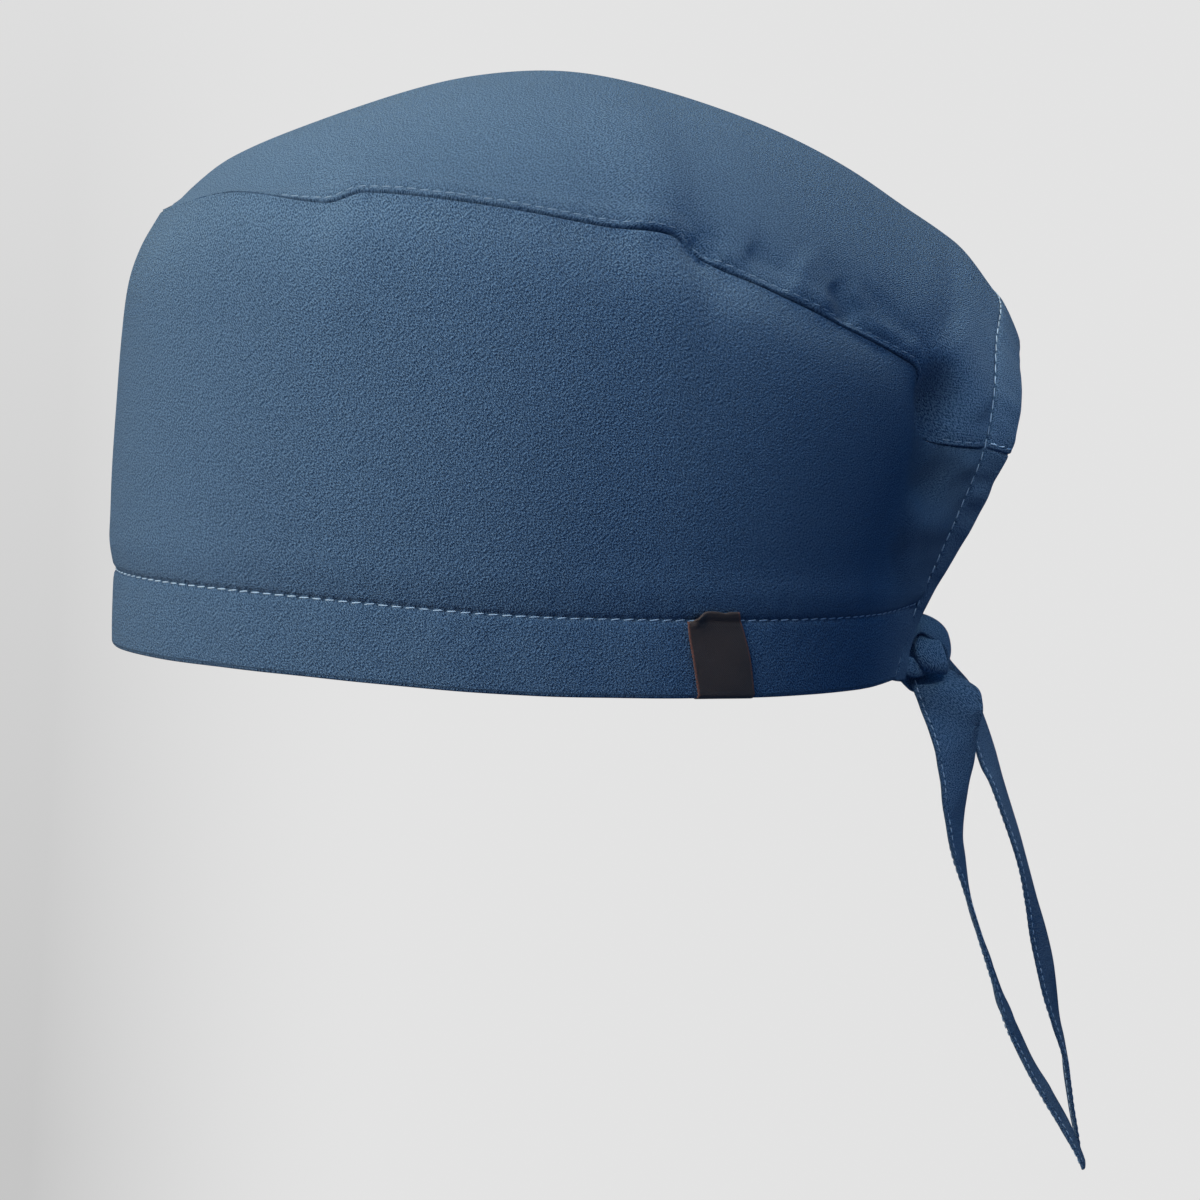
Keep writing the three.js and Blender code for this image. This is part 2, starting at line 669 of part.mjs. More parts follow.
// Flat ribbon swept along points, each with its width and width direction
function ribbonBody(stops, thickness) {
  const rings = stops.map(({ point, across, width }, k) => {
    const ahead = stops[Math.min(k + 1, stops.length - 1)].point;
    const behind = stops[Math.max(k - 1, 0)].point;
    const along = ahead.clone().sub(behind).normalize();
    const wide = across.clone().addScaledVector(along, -across.dot(along)).normalize();
    const thick = wide.clone().cross(along).normalize();
    return RIBBON_SECTION.map((corner) => point.clone()
      .addScaledVector(wide, corner.over * width / 2)
      .addScaledVector(thick, corner.thick * thickness));
  });
  return sweepBody(rings);
}

const KNOT_CENTRE = vec(
  0,
  slitEdge(HEM_TOP_AT / 2).edge.y + KNOT_BEHIND_EDGE,
  KNOT_FOOT + KNOT_HEIGHT / 2,
);

function tailStops(table) {
  return Array.from({ length: TIE_STEPS + 1 }, (_, k) => {
    const row = readTable(table, k / TIE_STEPS);
    const face = row.face * DEGREE;
    return {
      point: vec(
        row.side * TIE_WIDTH,
        KNOT_CENTRE.y + TAIL_SETBACK + row.sweep * TIE_SWEEP,
        KNOT_FOOT - PIECE_GAP - row.at * TIE_DROP,
      ),
      across: vec(Math.cos(face), Math.sin(face), 0),
      width: row.wide * TIE_WIDTH,
    };
  });
}

function buildTail(table) {
  return ribbonBody(tailStops(table), TIE_THICKNESS);
}

// The tie's way out of the knot, which ends a gap above the tail and in line with it
function knotExit(table) {
  const [first, second] = tailStops(table);
  const up = first.point.clone().sub(second.point).normalize();
  const foot = first.point.clone().addScaledVector(up, PIECE_GAP);
  const bend = foot.clone().addScaledVector(up, KNOT_EXIT_LENGTH);
  return ribbonBody([
    { ...first, point: KNOT_CENTRE.clone(), width: KNOT_LEAD_WIDTH },
    { ...first, point: bend },
    { ...first, point: foot },
  ], TIE_THICKNESS);
}

const wasm = await Module();
wasm.setup();

function toManifold(geometry) {
  const plain = geometry.clone();
  plain.deleteAttribute('normal');
  plain.deleteAttribute('uv');
  const merged = mergeVertices(plain);
  return new wasm.Manifold(new wasm.Mesh({
    numProp: 3,
    vertProperties: new Float32Array(merged.attributes.position.array),
    triVerts: new Uint32Array(merged.index.array),
  }));
}

function fromManifold(solid) {
  const mesh = solid.getMesh();
  const geometry = new THREE.BufferGeometry();
  geometry.setAttribute('position', new THREE.BufferAttribute(mesh.vertProperties, 3));
  geometry.setIndex(new THREE.BufferAttribute(mesh.triVerts, 1));
  return geometry;
}

// Width directions of the knot's leads and of its loop
const LEAD_FACE = vec(0, 0.2, 1);
const LOOP_FACE = vec(1, 0.3, 0);

// Half knot: a wrapped core, a lead from each end of the casing, the loop over its top and two ways out
function buildKnot() {
  const core = new THREE.SphereGeometry(0.5, KNOT_SEGMENTS, KNOT_RINGS);
  core.scale(KNOT_DEPTH, KNOT_WIDTH, KNOT_HEIGHT);
  core.translate(KNOT_CENTRE.x, KNOT_CENTRE.y, KNOT_CENTRE.z);
  const leads = [1, -1].map((side) => {
    const { edge } = slitEdge(HEM_TOP_AT / 2);
    const start = vec(side * (edge.x - PIECE_GAP), edge.y + PIECE_GAP, edge.z);
    const bend = start.clone().lerp(KNOT_CENTRE, 0.5).add(vec(0, DOUBLED_CLOTH / 2, 0));
    return ribbonBody([start, bend, KNOT_CENTRE.clone()].map((point) => ({
      point, across: LEAD_FACE, width: KNOT_LEAD_WIDTH,
    })), DOUBLED_CLOTH);
  });
  const loop = ribbonBody(KNOT_LOOP.map(({ side, back, up }) => ({
    point: KNOT_CENTRE.clone().add(vec(side * KNOT_DEPTH, back * KNOT_WIDTH, up * KNOT_HEIGHT)),
    across: LOOP_FACE,
    width: KNOT_LOOP_WIDTH,
  })), DOUBLED_CLOTH);
  const exits = [NEAR_TAIL, FAR_TAIL].map(knotExit);
  const parts = [...leads, loop, ...exits].map(toManifold);
  const solid = parts.reduce((sum, part) => sum.add(part), toManifold(core));
  return fromManifold(solid);
}

// Path of the label's tape round the hem, from above the stitch line outside to the hem's inside.
// up: share of HEM_HEIGHT. deep: share of DOUBLED_CLOTH.
// out and down: the way its thickness stands off the hem.
const LABEL_PATH = [
  { up: 1.08, deep: -0.2, out: 1, down: 0 },
  { up: 0.5, deep: -0.12, out: 1, down: 0 },
  { up: 0.03, deep: 0.0, out: 0.8, down: 0.6 },
  { up: 0.0, deep: 0.45, out: 0, down: 1 },
  { up: 0.03, deep: 1.0, out: -0.8, down: 0.6 },
  { up: 0.5, deep: 1.0, out: -1, down: 0 },
  { up: 0.85, deep: 1.0, out: -1, down: 0 },
];
const SEARCH_STEPS = 30;

// Place along the near half of the band where the hem passes a station front to back
function placeAtStation(station) {
  let low = 0;
  let high = WIDEST_SHARE;
  for (let k = 0; k < SEARCH_STEPS; k += 1) {
    const middle = (low + high) / 2;
    if (hemPoint(middle, HEM_MIDDLE).y > station) low = middle;
    else high = middle;
  }
  return low;
}

// Step to either side of a place at which the hem's direction is read
const PLACE_STEP = 0.01;

function buildLabel() {
  const rings = Array.from({ length: LABEL_COLUMNS + 1 }, (_, i) => {
    const across = (i / LABEL_COLUMNS - 0.5) * LABEL_WIDTH;
    const side = (clearance) => LABEL_PATH.map(({ up, deep, out, down }) => {
      const place = placeAtStation(LABEL_STATION + across - LABEL_LEAN * up);
      const behind = hemPoint(place - PLACE_STEP, HEM_MIDDLE);
      const along = hemPoint(place + PLACE_STEP, HEM_MIDDLE).sub(behind);
      const outward = vec(-along.y, along.x, 0).normalize();
      const stand = out * clearance - deep * DOUBLED_CLOTH;
      return hemPoint(place, up).addScaledVector(outward, stand).add(vec(0, 0, -down * clearance));
    });
    return [...side(PIECE_GAP + LABEL_THICKNESS), ...side(PIECE_GAP).reverse()];
  });
  return sweepBody(rings);
}

const CAP_COLOUR = 0x45658a;
const LABEL_COLOUR = 0x2d2929;
const CLOTH_ROUGHNESS = 0.85;

function piece(name, geometry, color = CAP_COLOUR) {
  const material = new THREE.MeshStandardMaterial({ color, roughness: CLOTH_ROUGHNESS, metalness: 0 });
  const mesh = new THREE.Mesh(geometry, material);
  mesh.name = name;
  return mesh;
}

const cap = new THREE.Group();
cap.add(piece('crown_panel', buildCrownPanel()));
cap.add(piece('side_panel', buildSidePanel()));
cap.add(piece('hem_band', buildHemBand()));
cap.add(piece('back_casing', buildBackCasing()));
cap.add(piece('tie_knot', buildKnot()));
cap.add(piece('tie_left', buildTail(NEAR_TAIL)));
cap.add(piece('tie_right', buildTail(FAR_TAIL)));
cap.add(piece('side_label', buildLabel(), LABEL_COLOUR));

export default cap;
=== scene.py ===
"""Scrub cap with back ties: cloth, seams, stitches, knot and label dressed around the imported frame."""
import logging
import math
from dataclasses import dataclass, field
from enum import Enum

import bmesh
import bpy
import numpy as np
from mathutils import Matrix, Vector


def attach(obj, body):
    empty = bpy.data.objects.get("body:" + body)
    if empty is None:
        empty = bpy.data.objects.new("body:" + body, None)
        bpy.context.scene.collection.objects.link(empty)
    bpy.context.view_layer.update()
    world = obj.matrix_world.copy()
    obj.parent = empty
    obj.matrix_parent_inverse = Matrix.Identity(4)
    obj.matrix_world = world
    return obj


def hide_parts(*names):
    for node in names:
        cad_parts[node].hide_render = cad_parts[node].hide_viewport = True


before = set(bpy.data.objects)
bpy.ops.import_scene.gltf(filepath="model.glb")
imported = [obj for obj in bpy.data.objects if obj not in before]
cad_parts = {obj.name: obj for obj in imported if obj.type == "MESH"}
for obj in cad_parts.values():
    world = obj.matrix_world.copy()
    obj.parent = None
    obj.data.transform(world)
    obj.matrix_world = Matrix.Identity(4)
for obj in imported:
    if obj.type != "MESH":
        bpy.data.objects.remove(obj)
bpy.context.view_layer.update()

MM = 0.001
LOG = logging.getLogger("scrub_cap")
Array = np.ndarray


class Slot(Enum):
    """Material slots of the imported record."""

    CLOTH = "cap_cloth"
    LABEL = "label_tape"


@dataclass(frozen=True)
class Table:
    """Listed shares, with named columns, read on a smooth curve through the rows."""

    columns: tuple[str, ...]
    rows: tuple[tuple[float, ...], ...]

    def read(self, at: Array) -> dict[str, Array]:
        """Reads every column.

        Args:
            at: Places in the first column.

        Returns:
            The value of each column at those places, by column name.
        """
        rows = np.array(self.rows, dtype=float)
        keys = rows[:, 0]
        last = len(keys) - 1
        before, after = np.maximum(np.arange(last + 1) - 1, 0), np.minimum(np.arange(last + 1) + 1, last)
        slopes = (rows[after] - rows[before]) / (keys[after] - keys[before])[:, None]
        where = np.clip(np.asarray(at, dtype=float), keys[0], keys[-1])
        row = np.clip(np.searchsorted(keys, where, side="right") - 1, 0, last - 1)
        span = (keys[row + 1] - keys[row])[..., None]
        t = (where - keys[row])[..., None] / span
        t2, t3 = t * t, t * t * t
        values = ((2 * t3 - 3 * t2 + 1) * rows[row] + (3 * t2 - 2 * t3) * rows[row + 1]
                  + (t3 - 2 * t2 + t) * slopes[row] * span + (t3 - t2) * slopes[row + 1] * span)
        return {name: values[..., k] for k, name in enumerate(self.columns)}


SLIT_EDGE = Table(("at", "half", "overhang", "height", "turn", "lift"), (
    (0.0, 0.3, 0.06, 0.0, 27, 0),
    (0.1, 0.32, 0.15, 0.13, 28, 0),
    (0.18, 0.42, 0.22, 0.225, 31, 0),
    (0.3, 0.64, 0.35, 0.365, 38, 2),
    (0.44, 0.88, 0.51, 0.53, 47, 5),
    (0.56, 1.0, 0.63, 0.66, 54, 9),
    (0.67, 0.98, 0.71, 0.79, 59, 20),
    (0.77, 0.8, 0.77, 0.895, 65, 36),
    (0.88, 0.44, 0.91, 0.972, 76, 52),
    (1.0, 0.0, 0.965, 1.0, 90, 61),
    (1.12, -0.44, 0.91, 0.972, 104, 52),
))
SIDE_LEVELS = Table(("at", "width", "front"), (
    (0.0, 1.0, 1.005),
    (0.1, 1.02, 1.016),
    (0.25, 1.04, 1.02),
    (0.45, 1.052, 1.016),
    (0.65, 1.052, 1.008),
    (0.8, 1.04, 0.994),
    (0.9, 1.015, 0.966),
    (1.0, 0.965, 0.92),
))
SEAM_LINE = Table(("at", "height"), (
    (-0.93, 0.981), (-0.83, 1.021), (-0.75, 1.034), (-0.57, 1.02), (-0.5, 1.045), (-0.27, 1.031),
    (0.0, 0.996), (0.17, 0.983), (0.26, 0.93), (0.4, 0.884), (0.6, 0.814), (0.8, 0.742),
    (0.88, 0.697), (0.94, 0.58), (1.0, 0.555), (1.09, 0.545),
))
CROWN_RIDGE = Table(("at", "station", "height", "spread"), (
    (0.0, 1.245, 0.665, -0.1),
    (0.08, 1.12, 0.757, -0.15),
    (0.2, 0.9, 0.835, -0.05),
    (0.35, 0.535, 0.938, 0.15),
    (0.5, 0.15, 0.996, 0.3),
    (0.62, -0.14, 0.984, 0.35),
    (0.75, -0.45, 0.923, 0.35),
    (0.88, -0.735, 0.838, 0.3),
    (0.945, -0.84, 0.79, 0.25),
    (1.0, -0.92, 0.7355, 0.2),
))


@dataclass(frozen=True)
class Dent:
    """A line pushed in towards the head: ends as shares of half the rim's length and of the cap's height."""

    side: int
    y0: float
    z0: float
    y1: float
    z1: float
    deep: float
    wide: float
    turn: float


DENTS = (
    Dent(1, 0.93, 0.51, 0.945, 0.47, 0.28, 0.42, 25),
    Dent(1, 0.935, 0.48, 0.945, 0.345, 0.6, 0.55, 30),
    Dent(1, 0.94, 0.33, 0.86, 0.2, 0.2, 0.9, 25),
    Dent(1, 0.6, 0.68, 0.7, 0.63, 0.12, 0.42, 20),
    Dent(1, 0.2, 0.74, 0.3, 0.69, 0.25, 0.6, 0),
    Dent(-1, 0.8, 0.64, 0.93, 0.46, 0.4, 0.8, 25),
    Dent(-1, 0.93, 0.46, 0.88, 0.26, 0.45, 0.85, 28),
    Dent(-1, 0.34, 0.76, 0.5, 0.68, 0.22, 0.55, 10),
)


@dataclass(frozen=True)
class Crease:
    """A fine fold raised (+) or sunk (-) along a line seen from the side, in millimetres."""

    side: int
    y0: float
    z0: float
    y1: float
    z1: float
    height: float
    width: float


CREASES = (
    Crease(1, 22.0, 112.0, 27.4, 105.0, -1.3, 3.4),
    Crease(1, 6.0, 114.0, 20.0, 112.6, 0.7, 4.5),
    Crease(1, 30.0, 110.0, 37.0, 107.0, 0.6, 4.0),
    Crease(1, 37.0, 110.0, 49.5, 101.0, -1.1, 4.2),
    Crease(1, 50.0, 108.5, 60.5, 96.0, 1.0, 5.4),
    Crease(1, 59.5, 102.0, 66.5, 92.0, -1.2, 3.2),
    Crease(1, 61.0, 97.0, 79.0, 85.5, -1.1, 3.8),
    Crease(1, 64.0, 101.5, 79.5, 86.5, 0.9, 4.4),
    Crease(1, 67.0, 103.0, 86.0, 88.0, -0.5, 2.6),
    Crease(1, 96.0, 92.0, 112.0, 69.0, 1.2, 9.0),
    Crease(1, 94.6, 57.0, 101.0, 52.4, -1.4, 5.0),
    Crease(1, 101.0, 52.4, 108.0, 50.6, -1.0, 3.4),
    Crease(1, 104.0, 57.6, 112.0, 56.4, 0.7, 3.0),
    Crease(1, 96.0, 45.0, 104.0, 40.0, 0.6, 4.0),
    Crease(1, 84.0, 31.0, 98.0, 38.0, -0.7, 4.5),
    Crease(1, 70.0, 27.0, 90.0, 25.0, 0.4, 5.0),
    Crease(-1, 40.0, 108.0, 50.0, 101.0, -1.2, 3.5),
    Crease(-1, 58.0, 103.0, 68.0, 93.0, -1.5, 3.0),
    Crease(-1, 66.0, 104.0, 78.0, 93.0, 0.8, 4.5),
    Crease(-1, 85.0, 90.0, 92.0, 76.0, -1.0, 4.5),
    Crease(-1, 92.0, 58.0, 106.0, 51.0, -1.2, 4.0),
    Crease(-1, 80.0, 33.0, 97.0, 40.0, -0.8, 4.5),
    Crease(-1, -62.0, 112.0, -56.0, 119.0, -0.5, 3.5),
)


@dataclass(frozen=True)
class Ripple:
    """Gathers along a seam: waves of several lengths, the same on every run."""

    shortest: float
    longest: float
    seed: int
    waves: int = 6

    def at(self, run: Array) -> Array:
        """Height of the gathers, about -1 to 1, at distances along the seam in millimetres."""
        draw = np.random.default_rng(self.seed)
        lengths = draw.uniform(self.shortest, self.longest, self.waves)
        phases = draw.uniform(0, 2 * math.pi, self.waves)
        total = sum(np.sin(2 * math.pi * run / length + phase) for length, phase in zip(lengths, phases))
        return total / math.sqrt(self.waves)


@dataclass(frozen=True)
class Billow:
    """Broad, soft waves of cloth through space."""

    shortest: float
    longest: float
    seed: int
    waves: int = 7

    def at(self, points: Array) -> Array:
        """Height of the waves, about -1 to 1, at points in millimetres."""
        draw = np.random.default_rng(self.seed)
        total = np.zeros(points.shape[:-1])
        for _ in range(self.waves):
            direction = draw.normal(size=3)
            direction /= np.linalg.norm(direction)
            length, phase = draw.uniform(self.shortest, self.longest), draw.uniform(0, 2 * math.pi)
            total += np.sin(2 * math.pi * (points @ direction) / length + phase)
        return total / math.sqrt(self.waves)


def smooth(share: Array) -> Array:
    """Smooth step from 0 to 1."""
    s = np.clip(share, 0, 1)
    return s * s * (3 - 2 * s)


def bump(distance: Array, width: float) -> Array:
    """Bell curve of a distance."""
    return np.exp(-np.square(distance / width))


def unit(vectors: Array) -> Array:
    """Vectors brought to length one."""
    return vectors / np.maximum(np.linalg.norm(vectors, axis=-1, keepdims=True), 1e-9)


def mix(a: Array, b: Array, share: Array) -> Array:
    """Straight blend from a to b."""
    return a + (b - a) * share


def cubic(p0: Array, p1: Array, p2: Array, p3: Array, t: Array) -> Array:
    """Point of a four-point curve."""
    s = 1 - t
    return p0 * s ** 3 + p1 * 3 * s * s * t + p2 * 3 * s * t * t + p3 * t ** 3


def line_run(points: Array) -> Array:
    """Distance travelled along a line of points, from its first."""
    steps = np.linalg.norm(np.diff(points, axis=0), axis=-1)
    return np.concatenate([[0.0], np.cumsum(steps)])


@dataclass(frozen=True)
class CapShape:
    """The cap's large form, in millimetres, with the same sizes as its solids."""

    rim_length: float = 202
    rim_width: float = 162
    cap_height: float = 152
    seam_height: float = 114
    hem_height: float = 19.4
    rim_arch: float = 2.2
    puff_overhang: float = 31.6
    slit_height: float = 90.6
    slit_width: float = 71
    casing_width: float = 12
    fold_depth: float = 10
    fold_width: float = 12
    hem_top_at: float = 0.18
    seam_at: float = 0.56
    widest_share: float = 0.48
    corner_share: float = 0.86
    side_handle: float = 0.5
    casing_handle: float = 0.42
    casing_reach: float = 0.12
    arch_start: float = 0.05
    arch_span: float = 0.8
    dent_fade: float = 0.3
    crown_turn: float = 0.15
    back_blend: float = 0.22
    front_blend: float = 0.25

    def slit_edge(self, place: Array) -> tuple[Array, Array]:
        """Edge of the back opening, and the casing's direction there.

        Args:
            place: From the near foot (0) over the top (1) to the far foot (2).

        Returns:
            Points of the edge, and unit vectors from it across the casing.
        """
        mirror = np.where(place > 1, -1.0, 1.0)
        row = SLIT_EDGE.read(np.where(place > 1, 2 - place, place))
        turn, lift = np.radians(row["turn"]), np.radians(row["lift"])
        edge = np.stack([
            mirror * row["half"] * self.slit_width / 2,
            self.rim_length / 2 + row["overhang"] * self.puff_overhang,
            row["height"] * self.slit_height,
        ], -1)
        away = np.stack([
            mirror * np.cos(turn) * np.cos(lift), -np.sin(turn) * np.cos(lift), np.sin(lift),
        ], -1)
        return edge, away

    def casing_line(self, place: Array) -> Array:
        """The casing's stitch line, where the panels end."""
        edge, away = self.slit_edge(place)
        return edge + away * self.casing_width

    def rim_lift(self, y: Array) -> Array:
        """Small rise of the rim towards the forehead."""
        return self.rim_arch * smooth((-y / (self.rim_length / 2) - self.arch_start) / self.arch_span)

    def band_plan(self, share: Array, half_width: Array, front: Array, place: Array) -> Array:
        """Plan of the band at one level, on the near side.

        Args:
            share: From the casing (0) past the widest point to the front centre (1).
            half_width: Half the band's width at the level.
            front: Reach to the front at the level.
            place: Where the level meets the casing.

        Returns:
            Points with z at zero.
        """
        casing = self.casing_line(place)
        _, away = self.slit_edge(place)
        flat = np.array([1.0, 1.0, 0.0])
        away = unit(away * flat)
        start = casing * flat
        depth = casing[..., 1:2]
        zero = np.zeros_like(half_width)
        widest = np.stack([half_width, zero, zero], -1)
        after = np.stack([half_width, casing[..., 1] * self.side_handle, zero], -1)
        t = np.clip(share / self.widest_share, 0, 1)[..., None]
        back = cubic(start, start + away * depth * self.casing_handle, after, widest, t)
        angle = np.clip((share - self.widest_share) / (1 - self.widest_share), 0, 1) * math.pi / 2
        ahead = np.stack([half_width * np.cos(angle), -front * np.sin(angle), zero], -1)
        return np.where((share < self.widest_share)[..., None], back, ahead)

    def half_band(self, share: Array, level: Array, side: Array) -> Array:
        """One half of the side band, drawn on the near side.

        Args:
            share: From the casing (0) to the front centre (1).
            level: From the hem's stitch line (0) to the crown seam (1).
            side: 1 near, -1 far, for the heights of the seam.

        Returns:
            Points of the band before its dents.
        """
        share, level = np.broadcast_arrays(share, level)
        row = SIDE_LEVELS.read(level)
        top = SIDE_LEVELS.read(np.ones_like(level))
        half, reach = self.rim_width / 2, self.rim_length / 2
        place = self.hem_top_at + (self.seam_at - self.hem_top_at) * level
        point = self.band_plan(share, row["width"] * half, row["front"] * reach, place)
        seam = self.band_plan(share, top["width"] * half, top["front"] * reach,
                              np.full_like(level, self.seam_at))
        station = seam[..., 1] + side * self.crown_turn * seam[..., 0] * smooth(-seam[..., 1] / reach)
        low = self.hem_height + self.rim_lift(point[..., 1])
        high = self.seam_height * SEAM_LINE.read(station / reach)["height"]
        near_casing = 1 - smooth(share / self.casing_reach)
        point[..., 2] = mix(mix(low, high, level), self.casing_line(place)[..., 2], near_casing)
        return point

    def dent(self, points: Array) -> Array:
        """Inward push of the dents at points of the cap."""
        push = np.zeros_like(points)
        half, height = self.rim_length / 2, self.cap_height
        reach = smooth(np.abs(points[..., 0]) / (self.dent_fade * self.rim_width / 2))
        for fold in DENTS:
            start = np.array([fold.y0 * half, fold.z0 * height])
            along = np.array([fold.y1 * half, fold.z1 * height]) - start
            here = points[..., 1:] - start
            share = np.clip(here @ along / (along @ along), 0, 1)[..., None]
            distance = np.linalg.norm(here - share * along, axis=-1)
            deep = fold.deep * self.fold_depth * bump(distance, fold.wide * self.fold_width) * reach
            deep = np.where(fold.side * points[..., 0] > 0, deep, 0.0)
            turn = math.radians(fold.turn)
            push[..., 0] -= fold.side * deep * math.cos(turn)
            push[..., 1] -= deep * math.sin(turn)
        return push

    def side_surface(self, place: Array, level: Array) -> Array:
        """The whole band: place runs from the near casing (0) round the front (1) to the far casing (2)."""
        far = place > 1
        point = self.half_band(np.where(far, 2 - place, place), level, np.where(far, -1.0, 1.0))
        point[..., 0] *= np.where(far, -1.0, 1.0)
        return point + self.dent(point)

    def hem_surface(self, place: Array, share: Array) -> Array:
        """The hem's outer face: share runs from the rim (0) to the stitch line (1)."""
        place, share = np.broadcast_arrays(place, share)
        far = place > 1
        near = np.where(far, 2 - place, place)
        top = SIDE_LEVELS.read(np.zeros_like(near))
        at = self.hem_top_at * share
        point = self.band_plan(near, top["width"] * self.rim_width / 2,
                               top["front"] * self.rim_length / 2, at)
        free = self.rim_lift(point[..., 1]) + self.hem_height * share
        held = 1 - smooth(near / self.casing_reach)
        point[..., 2] = mix(free, self.casing_line(at)[..., 2], held)
        point[..., 0] *= np.where(far, -1.0, 1.0)
        return point + self.dent(point) * smooth(share)[..., None]

    def band_surface(self, place: Array, height: Array) -> Array:
        """Hem and band as one cloth: height runs from the rim (-1) by the stitch line (0) to the seam (1)."""
        place, height = np.broadcast_arrays(place, height)
        hem = self.hem_surface(place, np.clip(height + 1, 0, 1))
        band = self.side_surface(place, np.clip(height, 0, 1))
        return np.where((height < 0)[..., None], hem, band)

    def plain_crown(self, along: Array, across: Array) -> Array:
        """The crown before its ends are drawn onto the casing and the front seam."""
        side = np.where(across < 0, -1.0, 1.0)
        seat = self.half_band(along * self.corner_share, np.ones_like(along), side)
        ridge = CROWN_RIDGE.read(along)
        angle = (1 - np.abs(across)) * math.pi / 2
        spread = ridge["spread"]
        x = seat[..., 0] * ((1 - spread) * np.cos(angle) + spread * np.abs(across))
        rise = np.sin(angle)
        y = mix(seat[..., 1], ridge["station"] * self.rim_length / 2, rise * rise)
        z = mix(seat[..., 2], ridge["height"] * self.cap_height, rise)
        return np.stack([np.sign(across) * x, y, z], -1)

    def crown_surface(self, along: Array, across: Array) -> Array:
        """The crown: along runs from the casing (0) to the front seam (1), across from -1 to 1."""
        along, across = np.broadcast_arrays(along, across)
        point = self.plain_crown(along, across)
        share = np.abs(across)
        side = np.where(across < 0, -1.0, 1.0)
        flip = np.stack([side, np.ones_like(side), np.ones_like(side)], -1)
        back = 1 - smooth(along / self.back_blend)
        casing = self.casing_line(1 - (1 - self.seam_at) * share) * flip
        point = point + (casing - self.plain_crown(np.zeros_like(along), across)) * back[..., None]
        front = smooth((along - 1 + self.front_blend) / self.front_blend)
        seam = self.half_band(1 - (1 - self.corner_share) * share, np.ones_like(along), side) * flip
        point = point + (seam - self.plain_crown(np.ones_like(along), across)) * front[..., None]
        return point + self.dent(point)

    def casing_frame(self, place: Array) -> tuple[Array, Array, Array, Array]:
        """Stitch line of the casing and its directions.

        Args:
            place: From the near foot (0) over the top (1) to the far foot (2).

        Returns:
            Points of the stitch line, unit vectors across to the edge, outward unit vectors, and widths.
        """
        def line(at: Array) -> Array:
            """Dented stitch line."""
            raw = self.casing_line(at)
            return raw + self.dent(raw)

        start = line(place)
        edge, _ = self.slit_edge(place)
        across = edge + self.dent(edge) - start
        width = np.linalg.norm(across, axis=-1)
        across = unit(across)
        step = 0.01
        ahead = line(np.minimum(place + step, 2.0)) - line(np.maximum(place - step, 0.0))
        return start, across, unit(np.cross(across, ahead)), width


def creases_at(points: Array) -> Array:
    """Height of the fine folds at points in millimetres."""
    total = np.zeros(points.shape[:-1])
    for crease in CREASES:
        start = np.array([crease.y0, crease.z0])
        along = np.array([crease.y1, crease.z1]) - start
        here = points[..., 1:] - start
        share = np.clip(here @ along / (along @ along), 0, 1)[..., None]
        distance = np.linalg.norm(here - share * along, axis=-1)
        taper = smooth(6 * share[..., 0] * (1 - share[..., 0]))
        height = crease.height * taper * bump(distance, crease.width)
        total += np.where(crease.side * points[..., 0] > 8, height, 0.0)
    return total


@dataclass(frozen=True)
class HiddenSeam:
    """Stretch of the near crown seam that a fold of the band covers, in millimetres seen from the side."""

    y0: float = 92.3
    z0: float = 76.0
    y1: float = 94.6
    z1: float = 67.5
    width: float = 3.6
    lip: float = 0.9
    lip_width: float = 2.4

    def at(self, points: Array) -> Array:
        """Share of the cover at points, 0 to 1."""
        start = np.array([self.y0, self.z0])
        along = np.array([self.y1, self.z1]) - start
        here = points[..., 1:] - start
        share = np.clip(here @ along / (along @ along), 0, 1)[..., None]
        distance = np.linalg.norm(here - share * along, axis=-1)
        return np.where(points[..., 0] > 8, smooth(1.5 * bump(distance, self.width)), 0.0)


HIDDEN_SEAM = HiddenSeam()
SAGS = ((101.0, 118.0, 1.7, 17.0), (-87.0, 118.0, 1.7, 15.0))


def sag(points: Array) -> Array:
    """Depth of two soft sags of the crown, in front and behind."""
    total = np.zeros(points.shape[:-1])
    for y, z, deep, wide in SAGS:
        total += deep * bump(np.hypot(points[..., 1] - y, points[..., 2] - z), wide)
    return total


def fine_stops(first: float, last: float, count: int, fine: tuple[float, ...]) -> Array:
    """Stops that stand close together at both ends.

    Args:
        first: First stop.
        last: Last stop.
        count: Number of even stops between the fine ones.
        fine: Distances of the fine stops from each end.

    Returns:
        Sorted stops.
    """
    low = first + np.array(fine)
    high = last - np.array(fine)
    return np.unique(np.concatenate([low, np.linspace(low.max(), high.min(), count), high]))


